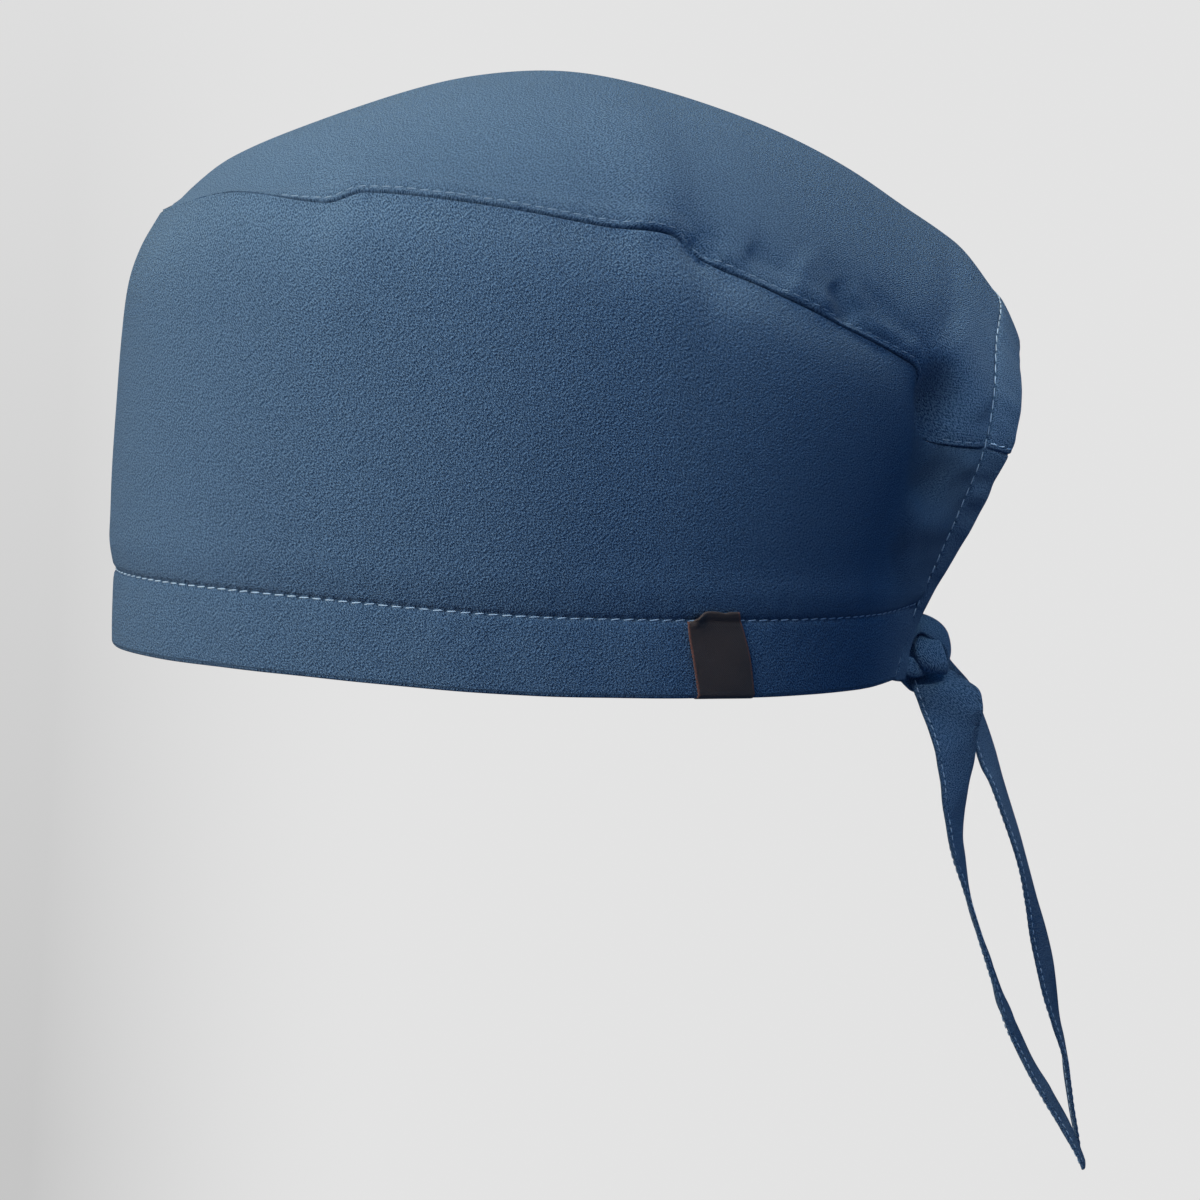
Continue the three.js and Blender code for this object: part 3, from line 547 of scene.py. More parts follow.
class SheetMesh:
    """A sheet of cloth drawn from a flat grid, with its cut in metres as UV map."""

    def __init__(self, name: str, points: Array, uv: Array, **masks: Array) -> None:
        """Makes the grid and moves its points.

        Args:
            name: Name of the object.
            points: Rows of points in millimetres.
            uv: The flat cut's coordinates of each point, in metres.
            masks: Values per point, each kept as an attribute of that name.
        """
        self.name = name
        rows, columns = points.shape[:2]
        self.bm = bmesh.new()
        bmesh.ops.create_grid(self.bm, x_segments=columns - 1, y_segments=rows - 1, size=0.5)
        start = np.array([v.co[:2] for v in self.bm.verts])
        share = (start - start.min(0)) / (start.max(0) - start.min(0))
        column = np.rint(share[:, 0] * (columns - 1)).astype(int)
        row = np.rint(share[:, 1] * (rows - 1)).astype(int)
        layers = {key: self.bm.verts.layers.float.new(key) for key in masks}
        places, cut = points[row, column] * MM, uv[row, column]
        for k, vert in enumerate(self.bm.verts):
            vert.co = places[k]
            for key, layer in layers.items():
                vert[layer] = float(masks[key][row[k], column[k]])
        self.bm.verts.index_update()
        self.bm.normal_update()
        uv_layer = self.bm.loops.layers.uv.new("cut")
        for face in self.bm.faces:
            face.smooth = True
            for loop in face.loops:
                loop[uv_layer].uv = cut[loop.vert.index]

    def face_away(self, centre: tuple[float, float, float]) -> "SheetMesh":
        """Turns the faces so that they point away from a centre in millimetres."""
        middle = Vector(centre) * MM
        turned = sum(f.normal.dot(f.calc_center_median() - middle) * f.calc_area() for f in self.bm.faces)
        if turned < 0:
            bmesh.ops.reverse_faces(self.bm, faces=self.bm.faces[:])
        return self

    def close_tube(self) -> "SheetMesh":
        """Welds the grid's first and last columns into a tube and closes its two ends."""
        bmesh.ops.remove_doubles(self.bm, verts=self.bm.verts[:], dist=1e-6)
        ends = [e for e in self.bm.edges if e.is_boundary]
        bmesh.ops.holes_fill(self.bm, edges=ends, sides=0)
        bmesh.ops.recalc_face_normals(self.bm, faces=self.bm.faces[:])
        return self

    def finish(self, material: bpy.types.Material, thickness: float = 0.0) -> bpy.types.Object:
        """Makes the object.

        Args:
            material: Its cloth.
            thickness: Thickness of the sheet in millimetres, grown inwards; none for a closed form.

        Returns:
            The object at the origin.
        """
        mesh = bpy.data.meshes.new(self.name)
        self.bm.normal_update()
        self.bm.to_mesh(mesh)
        self.bm.free()
        mesh.materials.append(material)
        piece = bpy.data.objects.new(self.name, mesh)
        bpy.context.scene.collection.objects.link(piece)
        if thickness:
            wall = piece.modifiers.new("wall", "SOLIDIFY")
            wall.thickness = thickness * MM
            wall.offset = -1.0
        return piece


class NodeSheet:
    """Shorthand for wiring one node tree."""

    def __init__(self, tree: bpy.types.NodeTree) -> None:
        """Keeps the tree."""
        self.tree = tree

    def add(self, kind: str, **settings: object) -> bpy.types.Node:
        """Adds a node and sets its properties."""
        node = self.tree.nodes.new(kind)
        for key, value in settings.items():
            setattr(node, key, value)
        return node

    def feed(self, socket: bpy.types.NodeSocket, value: object) -> None:
        """Links a socket or sets a plain value on it."""
        if isinstance(value, bpy.types.NodeSocket):
            self.tree.links.new(value, socket)
        else:
            socket.default_value = value

    def math(self, operation: str, *values: object, clamp: bool = False) -> bpy.types.NodeSocket:
        """Result of a Math node."""
        node = self.add("ShaderNodeMath", operation=operation, use_clamp=clamp)
        for socket, value in zip(node.inputs, values):
            self.feed(socket, value)
        return node.outputs[0]

    def vector(self, operation: str, *values: object) -> bpy.types.Node:
        """A Vector Math node with its inputs fed."""
        node = self.add("ShaderNodeVectorMath", operation=operation)
        for socket, value in zip(node.inputs, values):
            self.feed(socket, value)
        return node

    def noise(self, vector: object, scale: float, detail: float = 2.0,
              roughness: float = 0.5) -> bpy.types.NodeSocket:
        """Value of a Noise Texture."""
        node = self.add("ShaderNodeTexNoise")
        self.feed(node.inputs["Vector"], vector)
        node.inputs["Scale"].default_value = scale
        node.inputs["Detail"].default_value = detail
        node.inputs["Roughness"].default_value = roughness
        return node.outputs[0]

    def colours(self, share: object, low: tuple[float, ...], high: tuple[float, ...]) -> bpy.types.NodeSocket:
        """Blend of two colours."""
        node = self.add("ShaderNodeMix", data_type="RGBA")
        self.feed(node.inputs[0], share)
        self.feed(node.inputs[6], low)
        self.feed(node.inputs[7], high)
        return node.outputs[2]


def node_group(name: str, inputs: dict[str, tuple[str, object]],
               outputs: dict[str, str]
               ) -> tuple[bpy.types.NodeTree, NodeSheet, bpy.types.Node, bpy.types.Node]:
    """Starts a shader node group.

    Args:
        name: Name of the group.
        inputs: Socket type and default of each input.
        outputs: Socket type of each output.

    Returns:
        The group's tree, its wiring sheet, its input node and its output node.
    """
    tree = bpy.data.node_groups.new(name, "ShaderNodeTree")
    for key, (kind, value) in inputs.items():
        socket = tree.interface.new_socket(key, in_out="INPUT", socket_type=kind)
        if value is not None:
            socket.default_value = value
    for key, kind in outputs.items():
        tree.interface.new_socket(key, in_out="OUTPUT", socket_type=kind)
    sheet = NodeSheet(tree)
    return tree, sheet, sheet.add("NodeGroupInput"), sheet.add("NodeGroupOutput")


def twill_group() -> bpy.types.NodeTree:
    """Twill weave on a cut in metres: fine diagonal ribs broken up by the yarn."""
    tree, sheet, given, made = node_group(
        "Twill Weave",
        {"Cut": ("NodeSocketVector", None), "Pitch": ("NodeSocketFloat", 0.0006),
         "Slub": ("NodeSocketFloat", 0.5)},
        {"Height": "NodeSocketFloat", "Shade": "NodeSocketFloat"},
    )
    turns = sheet.math("DIVIDE", 2 * math.pi * math.sqrt(0.5), given.outputs["Pitch"])
    parts = sheet.add("ShaderNodeSeparateXYZ")
    sheet.feed(parts.inputs[0], given.outputs["Cut"])
    diagonal = sheet.math("SUBTRACT", parts.outputs[0], parts.outputs[1])
    crossing = sheet.math("ADD", parts.outputs[0], parts.outputs[1])
    wobble = sheet.math("MULTIPLY", sheet.noise(given.outputs["Cut"], 700.0), 3.4)
    rib = sheet.math("SINE", sheet.math("ADD", sheet.math("MULTIPLY", diagonal, turns), wobble))
    yarn = sheet.math("SINE", sheet.math("MULTIPLY", sheet.math("MULTIPLY", crossing, turns), 0.55))
    drawn = sheet.add("ShaderNodeCombineXYZ")
    sheet.feed(drawn.inputs[0], diagonal)
    sheet.feed(drawn.inputs[1], sheet.math("MULTIPLY", crossing, 0.55))
    slub = sheet.noise(drawn.outputs[0], 2250.0, 1.0, 0.6)
    slub_height = sheet.math("MULTIPLY", sheet.math("SUBTRACT", slub, 0.5), given.outputs["Slub"])
    weave = sheet.math("ADD", sheet.math("MULTIPLY", rib, 0.3), sheet.math("MULTIPLY", yarn, 0.1))
    height = sheet.math("ADD", weave, sheet.math("MULTIPLY", slub_height, 17.0))
    sheet.feed(made.inputs["Height"], height)
    sheet.feed(made.inputs["Shade"], sheet.math("MULTIPLY_ADD", height, 0.5, 0.5, clamp=True))
    return tree


def mottle_group() -> bpy.types.NodeTree:
    """Soft uneven dye over the cloth, from the piece's own coordinates."""
    tree, sheet, given, made = node_group(
        "Dye Mottle", {"Place": ("NodeSocketVector", None)}, {"Mask": "NodeSocketFloat"})
    broad = sheet.noise(given.outputs["Place"], 22.0, 3.0, 0.55)
    close = sheet.noise(given.outputs["Place"], 260.0, 4.0, 0.6)
    sheet.feed(made.inputs["Mask"], sheet.math("ADD", sheet.math("MULTIPLY", broad, 0.6),
                                               sheet.math("MULTIPLY", close, 0.4)))
    return tree


def stitch_pull_and_shade_group() -> bpy.types.NodeTree:
    """Small dimples that a row of stitches pulls into the cloth, from distances along and beside the row,
    with a painted shade for them.
    """
    tree, sheet, given, made = node_group(
        "Stitch Pull And Painted Shade",
        {"Run": ("NodeSocketFloat", 0.0), "Gap": ("NodeSocketFloat", 9.0), "Pitch": ("NodeSocketFloat", 3.3)},
        {"Height": "NodeSocketFloat", "Shade": "NodeSocketFloat"},
    )
    along = sheet.math("DIVIDE", given.outputs["Run"], given.outputs["Pitch"])
    turn = sheet.math("MULTIPLY", along, 2 * math.pi)
    beat = sheet.math("MULTIPLY_ADD", sheet.math("COSINE", turn), 0.4, 0.6)
    spread = sheet.math("DIVIDE", given.outputs["Gap"], 0.75)
    fall = sheet.math("EXPONENT", sheet.math("MULTIPLY", sheet.math("MULTIPLY", spread, spread), -1.0))
    # The pull mask also gives the Shade output, a painted shade that darkens the cloth where the dimples
    # sink.
    pull = sheet.math("MULTIPLY", beat, fall)
    sheet.feed(made.inputs["Height"], sheet.math("MULTIPLY", pull, -1.0))
    sheet.feed(made.inputs["Shade"], pull)
    return tree


@dataclass(frozen=True)
class ClothFinish:
    """Dyed twill of the cap: steel blue, matt with a soft nap, with painted shade in its stitch dimples."""

    name: str = "steel_blue_twill"
    colour: tuple[float, float, float, float] = (0.16, 0.268, 0.4, 1.0)
    shade: tuple[float, float, float, float] = (0.012, 0.046, 0.104, 1.0)
    # deep: colour of the painted shade in the stitch dimples.
    deep: tuple[float, float, float, float] = (0.014, 0.034, 0.07, 1.0)
    pitch: float = 0.00051
    roughness: float = 0.82
    sheen: float = 0.12
    weave_bump: float = 0.0001
    pull_bump: float = 0.0004
    stitched: bool = True

    def make(self, groups: "Groups") -> bpy.types.Material:
        """Builds the material.

        Args:
            groups: The shared node groups.

        Returns:
            The finished material.
        """
        material = bpy.data.materials.new(self.name)
        material.use_nodes = True
        sheet = NodeSheet(material.node_tree)
        shader = material.node_tree.nodes["Principled BSDF"]
        cut = sheet.add("ShaderNodeUVMap", uv_map="cut").outputs[0]
        place = sheet.add("ShaderNodeTexCoord").outputs["Object"]
        twill = sheet.add("ShaderNodeGroup", node_tree=groups.twill)
        sheet.feed(twill.inputs["Cut"], cut)
        twill.inputs["Pitch"].default_value = self.pitch
        mottle = sheet.add("ShaderNodeGroup", node_tree=groups.mottle)
        sheet.feed(mottle.inputs["Place"], place)
        share = sheet.math("ADD", sheet.math("MULTIPLY", twill.outputs["Shade"], 0.95),
                           sheet.math("MULTIPLY", mottle.outputs["Mask"], 0.3), clamp=True)
        colour = sheet.colours(share, self.shade, self.colour)
        weave = sheet.add("ShaderNodeBump")
        weave.inputs["Distance"].default_value = self.weave_bump
        sheet.feed(weave.inputs["Height"], twill.outputs["Height"])
        normal = weave.outputs[0]
        if self.stitched:
            pull = sheet.add("ShaderNodeGroup", node_tree=groups.pull)
            run = sheet.add("ShaderNodeAttribute", attribute_name="run")
            gap = sheet.add("ShaderNodeAttribute", attribute_name="gap")
            sheet.feed(pull.inputs["Run"], run.outputs["Fac"])
            sheet.feed(pull.inputs["Gap"], gap.outputs["Fac"])
            # Painted shade: the pull attribute scales the dimples and darkens the cloth towards the deep
            # colour in them.
            strength = sheet.add("ShaderNodeAttribute", attribute_name="pull").outputs["Fac"]
            dark = sheet.math("MULTIPLY", sheet.math("MULTIPLY", pull.outputs["Shade"], 0.45), strength)
            colour = sheet.colours(dark, colour, self.deep)
            dimple = sheet.add("ShaderNodeBump")
            dimple.inputs["Distance"].default_value = self.pull_bump
            sheet.feed(dimple.inputs["Height"], sheet.math("MULTIPLY", pull.outputs["Height"], strength))
            sheet.feed(dimple.inputs["Normal"], normal)
            normal = dimple.outputs[0]
        sheet.feed(shader.inputs["Base Color"], colour)
        sheet.feed(shader.inputs["Normal"], normal)
        shader.inputs["Roughness"].default_value = self.roughness
        shader.inputs["Sheen Weight"].default_value = self.sheen
        shader.inputs["Sheen Roughness"].default_value = 0.45
        shader.inputs["Sheen Tint"].default_value = (0.62, 0.78, 1.0, 1.0)
        shader.inputs["Specular IOR Level"].default_value = 0.25
        return material


@dataclass(frozen=True)
class ThreadFinish:
    """Sewing thread, a little paler than the cloth, with its twist."""

    name: str = "pale_blue_thread"
    light: tuple[float, float, float, float] = (0.66, 0.80, 0.92, 1.0)
    dark: tuple[float, float, float, float] = (0.44, 0.60, 0.74, 1.0)
    twist: float = 5200.0

    def make(self) -> bpy.types.Material:
        """Builds the material."""
        material = bpy.data.materials.new(self.name)
        material.use_nodes = True
        sheet = NodeSheet(material.node_tree)
        shader = material.node_tree.nodes["Principled BSDF"]
        place = sheet.add("ShaderNodeTexCoord").outputs["Object"]
        fibre = sheet.noise(place, self.twist, 3.0, 0.6)
        tone = sheet.noise(place, 90.0, 2.0)
        share = sheet.math("ADD", sheet.math("MULTIPLY", fibre, 0.6), sheet.math("MULTIPLY", tone, 0.4))
        sheet.feed(shader.inputs["Base Color"], sheet.colours(share, self.dark, self.light))
        twist = sheet.add("ShaderNodeBump")
        twist.inputs["Distance"].default_value = 0.00006
        sheet.feed(twist.inputs["Height"], fibre)
        sheet.feed(shader.inputs["Normal"], twist.outputs[0])
        shader.inputs["Roughness"].default_value = 0.5
        shader.inputs["Sheen Weight"].default_value = 0.2
        return material


@dataclass(frozen=True)
class TapeFinish:
    """Black woven label tape with brown threads at its long edges."""

    name: str = "black_woven_tape"
    black: tuple[float, float, float, float] = (0.066, 0.036, 0.024, 1.0)
    grey: tuple[float, float, float, float] = (0.17, 0.105, 0.074, 1.0)
    brown: tuple[float, float, float, float] = (0.26, 0.09, 0.055, 1.0)
    pick: float = 0.00042
    end: float = 0.0005
    half_width: float = 0.008

    def make(self) -> bpy.types.Material:
        """Builds the material."""
        material = bpy.data.materials.new(self.name)
        material.use_nodes = True
        sheet = NodeSheet(material.node_tree)
        shader = material.node_tree.nodes["Principled BSDF"]
        cut = sheet.add("ShaderNodeUVMap", uv_map="cut").outputs[0]
        parts = sheet.add("ShaderNodeSeparateXYZ")
        sheet.feed(parts.inputs[0], cut)
        picks = sheet.math("SINE", sheet.math("MULTIPLY", parts.outputs[1], 2 * math.pi / self.pick))
        ends = sheet.math("SINE", sheet.math("MULTIPLY", parts.outputs[0], 2 * math.pi / self.end))
        grid = sheet.math("MULTIPLY", picks, ends)
        fluff = sheet.noise(cut, 2600.0, 3.0, 0.7)
        height = sheet.math("ADD", sheet.math("MULTIPLY", grid, 0.5), fluff)
        share = sheet.math("MULTIPLY_ADD", height, 0.4, 0.1, clamp=True)
        cloth = sheet.colours(share, self.black, self.grey)
        edge = sheet.math("GREATER_THAN", sheet.math("ABSOLUTE", parts.outputs[0]), self.half_width - 0.0007)
        thread = sheet.math("GREATER_THAN", fluff, 0.42)
        frayed = sheet.math("MULTIPLY", edge, thread)
        sheet.feed(shader.inputs["Base Color"], sheet.colours(frayed, cloth, self.brown))
        weave = sheet.add("ShaderNodeBump")
        weave.inputs["Distance"].default_value = 0.00012
        sheet.feed(weave.inputs["Height"], height)
        sheet.feed(shader.inputs["Normal"], weave.outputs[0])
        shader.inputs["Roughness"].default_value = 0.6
        shader.inputs["Sheen Weight"].default_value = 0.1
        return material


@dataclass
class Groups:
    """Node groups that several finishes share."""

    twill: bpy.types.NodeTree = field(default_factory=twill_group)
    mottle: bpy.types.NodeTree = field(default_factory=mottle_group)
    pull: bpy.types.NodeTree = field(default_factory=stitch_pull_and_shade_group)


@dataclass
class Finishes:
    """Every material of the cap."""

    cloth: bpy.types.Material
    thread: bpy.types.Material
    seam_thread: bpy.types.Material
    tape: bpy.types.Material

    @classmethod
    def build(cls) -> "Finishes":
        """Makes the shared groups and the materials."""
        groups = Groups()
        seam = ThreadFinish("blue_thread", (0.34, 0.47, 0.61, 1.0), (0.2, 0.3, 0.42, 1.0))
        return cls(ClothFinish().make(groups), ThreadFinish().make(), seam.make(), TapeFinish().make())


@dataclass(frozen=True)
class StitchRow:
    """A row of lockstitches that lies on the cloth."""

    name: str
    pitch: float = 3.3
    length: float = 2.5
    radius: float = 0.2
    slant: float = 5.0
    lift: float = 0.08
    seed: int = 5

    @staticmethod
    def stitch(bm: bmesh.types.BMesh, place: Array, along: Array, aside: Array, up: Array) -> None:
        """Adds one stitch, a sphere drawn out into a rod with round ends."""
        made = bmesh.ops.create_uvsphere(bm, u_segments=6, v_segments=6, radius=1.0)
        for vert in made["verts"]:
            end = math.copysign(abs(vert.co.z) ** 0.55, vert.co.z)
            vert.co = Vector((place + along * end + aside * vert.co.x + up * vert.co.y) * MM)

    def build(self, runs: list[tuple[Array, Array]], thread: bpy.types.Material) -> bpy.types.Object:
        """Sews stitches along lines.

        Args:
            runs: Points and outward unit vectors of each line, in millimetres.
            thread: The thread's material.

        Returns:
            All stitches as one object.
        """
        draw = np.random.default_rng(self.seed)
        bm = bmesh.new()
        for points, outward in runs:
            run = line_run(points)
            count = max(1, int(run[-1] / self.pitch))
            for centre in (np.arange(count) + 0.5) * run[-1] / count:
                here, before, after = (np.array([np.interp(centre + s, run, points[:, k]) for k in range(3)])
                                       for s in (0.0, -1.2, 1.2))
                up = unit(np.array([np.interp(centre, run, outward[:, k]) for k in range(3)]))
                along = unit(after - before)
                aside = unit(np.cross(up, along))
                turn = math.radians(self.slant + draw.uniform(-3.5, 3.5))
                along = along * math.cos(turn) + aside * math.sin(turn)
                aside = np.cross(up, along)
                half = self.length / 2 * draw.uniform(0.9, 1.06)
                thick = self.radius * draw.uniform(0.88, 1.1)
                self.stitch(bm, here + up * self.lift, along * half, aside * thick, up * thick * 0.9)
        for face in bm.faces:
            face.smooth = True
        mesh = bpy.data.meshes.new(self.name)
        bmesh.ops.recalc_face_normals(bm, faces=bm.faces[:])
        bm.to_mesh(mesh)
        bm.free()
        mesh.materials.append(thread)
        piece = bpy.data.objects.new(self.name, mesh)
        bpy.context.scene.collection.objects.link(piece)
        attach(piece, "root")
        return piece


def surface_normals(surface: object, u: Array, v: Array, step: float = 0.002) -> Array:
    """Unit normals of a surface given by two shares.

    Args:
        surface: Function of two arrays that gives points.
        u: First share.
        v: Second share.
        step: Distance in each share over which the slope is read.

    Returns:
        Unit vectors, turned away from the cap's middle.
    """
    du = surface(u + step, v) - surface(u - step, v)
    dv = surface(u, v + step) - surface(u, v - step)
    normal = unit(np.cross(du, dv))
    away = surface(u, v) - np.array([0.0, 10.0, 50.0])
    return normal * np.where((normal * away).sum(-1, keepdims=True) < 0, -1.0, 1.0)


@dataclass
class BandCloth:
    """Side band and hem, one cloth turned up at the rim and stitched."""

    shape: CapShape
    columns: int = 330
    rows: int = 62
    hem_rows: int = 13
    cloth: float = 0.55
    hem_depth: float = 1.7
    groove: float = 0.5
    roll: float = 0.7
    tuck: float = 1.0
    flat_width: float = 0.61
    flat_length: float = 0.14

    def __post_init__(self) -> None:
        """Measures the rim and the band's height."""
        places = np.linspace(0, 2, 801)
        self.places = places
        self.rim_run = line_run(self.shape.hem_surface(places, np.full_like(places, 0.5)))
        self.band_height = self.shape.seam_height - self.shape.hem_height

    def run(self, place: Array) -> Array:
        """Distance along the rim from the near casing."""
        return np.interp(place, self.places, self.rim_run)

    def rise(self, height: Array) -> Array:
        """Distance above the hem's stitch line."""
        return np.where(height < 0, height * self.shape.hem_height, height * self.band_height)

    def relief(self, place: Array, height: Array, points: Array) -> Array:
        """Height of the cloth's small forms over the large one, in millimetres."""
        run, rise = self.run(place), self.rise(height)
        casing = np.minimum(run, self.rim_run[-1] - run)
        seam = np.linalg.norm(points - self.shape.band_surface(place, np.ones_like(place)), axis=-1)
        above = rise > 0
        gathers = Ripple(7, 13, 3).at(run) * np.where(above, bump(rise, 7.5) * 0.1, bump(rise, 6) * 0.08)
        bulge = np.where(above, 0.45 * bump(rise - 7, 5.5),
                         0.3 * np.sin(np.clip(-rise / 19.4, 0, 1) * math.pi))
        drag = 0.2 * Ripple(24, 46, 11).at(run - 0.5 * rise) * smooth(-rise / 6)
        roping = 0.04 * Ripple(7, 10, 19).at(run + 0.9 * rise) * smooth(-rise / 3) * smooth((rise + 19) / 4)
        seam_gathers = 0.1 * Ripple(10, 19, 7).at(run) * bump(seam, 9)
        casing_gathers = 0.28 * Ripple(8, 15, 23).at(points[..., 2]) * bump(casing, 9)
        billow = 0.3 * Billow(55, 110, 31).at(points) * smooth(rise / 15) * smooth(seam / 12)
        body = gathers + bulge + drag + roping + seam_gathers + casing_gathers + billow + creases_at(points)
        edge = smooth(seam / 1.2) * smooth(casing / 1.6)
        line = self.groove * (bump(rise, 0.8) + 0.7 * bump(casing, 0.8) * (height > -1))
        rolled = self.roll * (1 - np.sqrt(1 - np.square(1 - np.clip(seam / self.roll, 0, 1))))
        cover = HIDDEN_SEAM.at(points)
        lip = HIDDEN_SEAM.lip * cover * bump(seam, HIDDEN_SEAM.lip_width)
        return body * edge * (1 - 0.75 * bump(rise, 1.2)) - line - rolled * (1 - cover) + lip

    def lifted(self, place: Array, height: Array) -> tuple[Array, Array]:
        """The cloth's outer face.

        Args:
            place: From the near casing (0) to the far one (2).
            height: From the rim (-1) by the stitch line (0) to the seam (1).

        Returns:
            Points, and unit normals of the large form.
        """
        place, height = (np.array(a) for a in np.broadcast_arrays(place, height))
        points = self.shape.band_surface(place, height)
        inner = np.clip(height, -0.99, 0.985)
        normals = surface_normals(self.shape.band_surface, np.clip(place, 0.003, 1.997), inner)
        return points + normals * self.relief(place, height, points)[..., None], normals

    def build(self, finishes: Finishes) -> bpy.types.Object:
        """Makes the cloth from the hem's turned edge up to the crown seam."""
        place = fine_stops(0, 2, self.columns, (0, 0.002, 0.005, 0.009, 0.014))
        band = np.unique(np.concatenate([
            fine_stops(0, 1, self.rows, (0, 0.004, 0.009, 0.016)), [0.9925, 0.9962],
        ]))
        hem = np.unique(np.concatenate([np.linspace(-0.93, -0.06, self.hem_rows), [-0.04, -0.02]]))
        heights = np.concatenate([hem, band])
        grid, tall = np.meshgrid(place, heights)
        outer, normals = self.lifted(grid, tall)
        tucked = outer[-1] - normals[-1] * self.tuck
        flat = unit(normals[0] * np.array([1.0, 1.0, 0.0]))
        rows, cuts = [], []
        radius = self.hem_depth / 2
        inside = np.linspace(0.9, 0.08, 7)
        low = outer[0]
        for share in inside:
            rise = (share - 0.07) * self.shape.hem_height
            wave = 0.15 * Ripple(9, 17, 41).at(self.run(place)) * smooth(rise / 6)
            rows.append(low - flat * (self.hem_depth + wave)[:, None] + np.array([0.0, 0.0, 1.0]) * rise)
            cuts.append(-self.shape.hem_height * (1 + share))
        for angle in np.linspace(math.pi, 0, 9)[1:-1]:
            turn = np.array([0.0, 0.0, -math.sin(angle) * radius * 1.3])
            rows.append(low - flat * (radius - radius * math.cos(angle)) + turn)
            cuts.append(-self.shape.hem_height - radius * math.cos(angle))
        for k in range(len(heights)):
            rows.append(outer[k])
            cuts.append(float(self.rise(heights)[k]))
        rows.append(tucked)
        cuts.append(self.band_height + self.tuck)
        points = np.stack(rows)
        cut = np.array(cuts)[:, None] + np.zeros_like(place)
        run = self.run(place)[None, :] + np.zeros_like(cut)
        uv = np.stack([run, cut], -1) * MM
        sheet = SheetMesh("band_cloth", points, uv, run=run, gap=np.clip(cut, -9, 9), pull=np.ones_like(run))
        piece = sheet.face_away((0, 0, 40)).finish(finishes.cloth, self.cloth)
        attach(piece, "root")
        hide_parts("side_panel", "hem_band")
        return piece

    def stitch_line(self) -> list[tuple[Array, Array]]:
        """The hem's stitch line."""
        place = np.linspace(0.004, 1.996, 1200)
        points, normals = self.lifted(place, np.full_like(place, -0.005))
        return [(points, normals)]


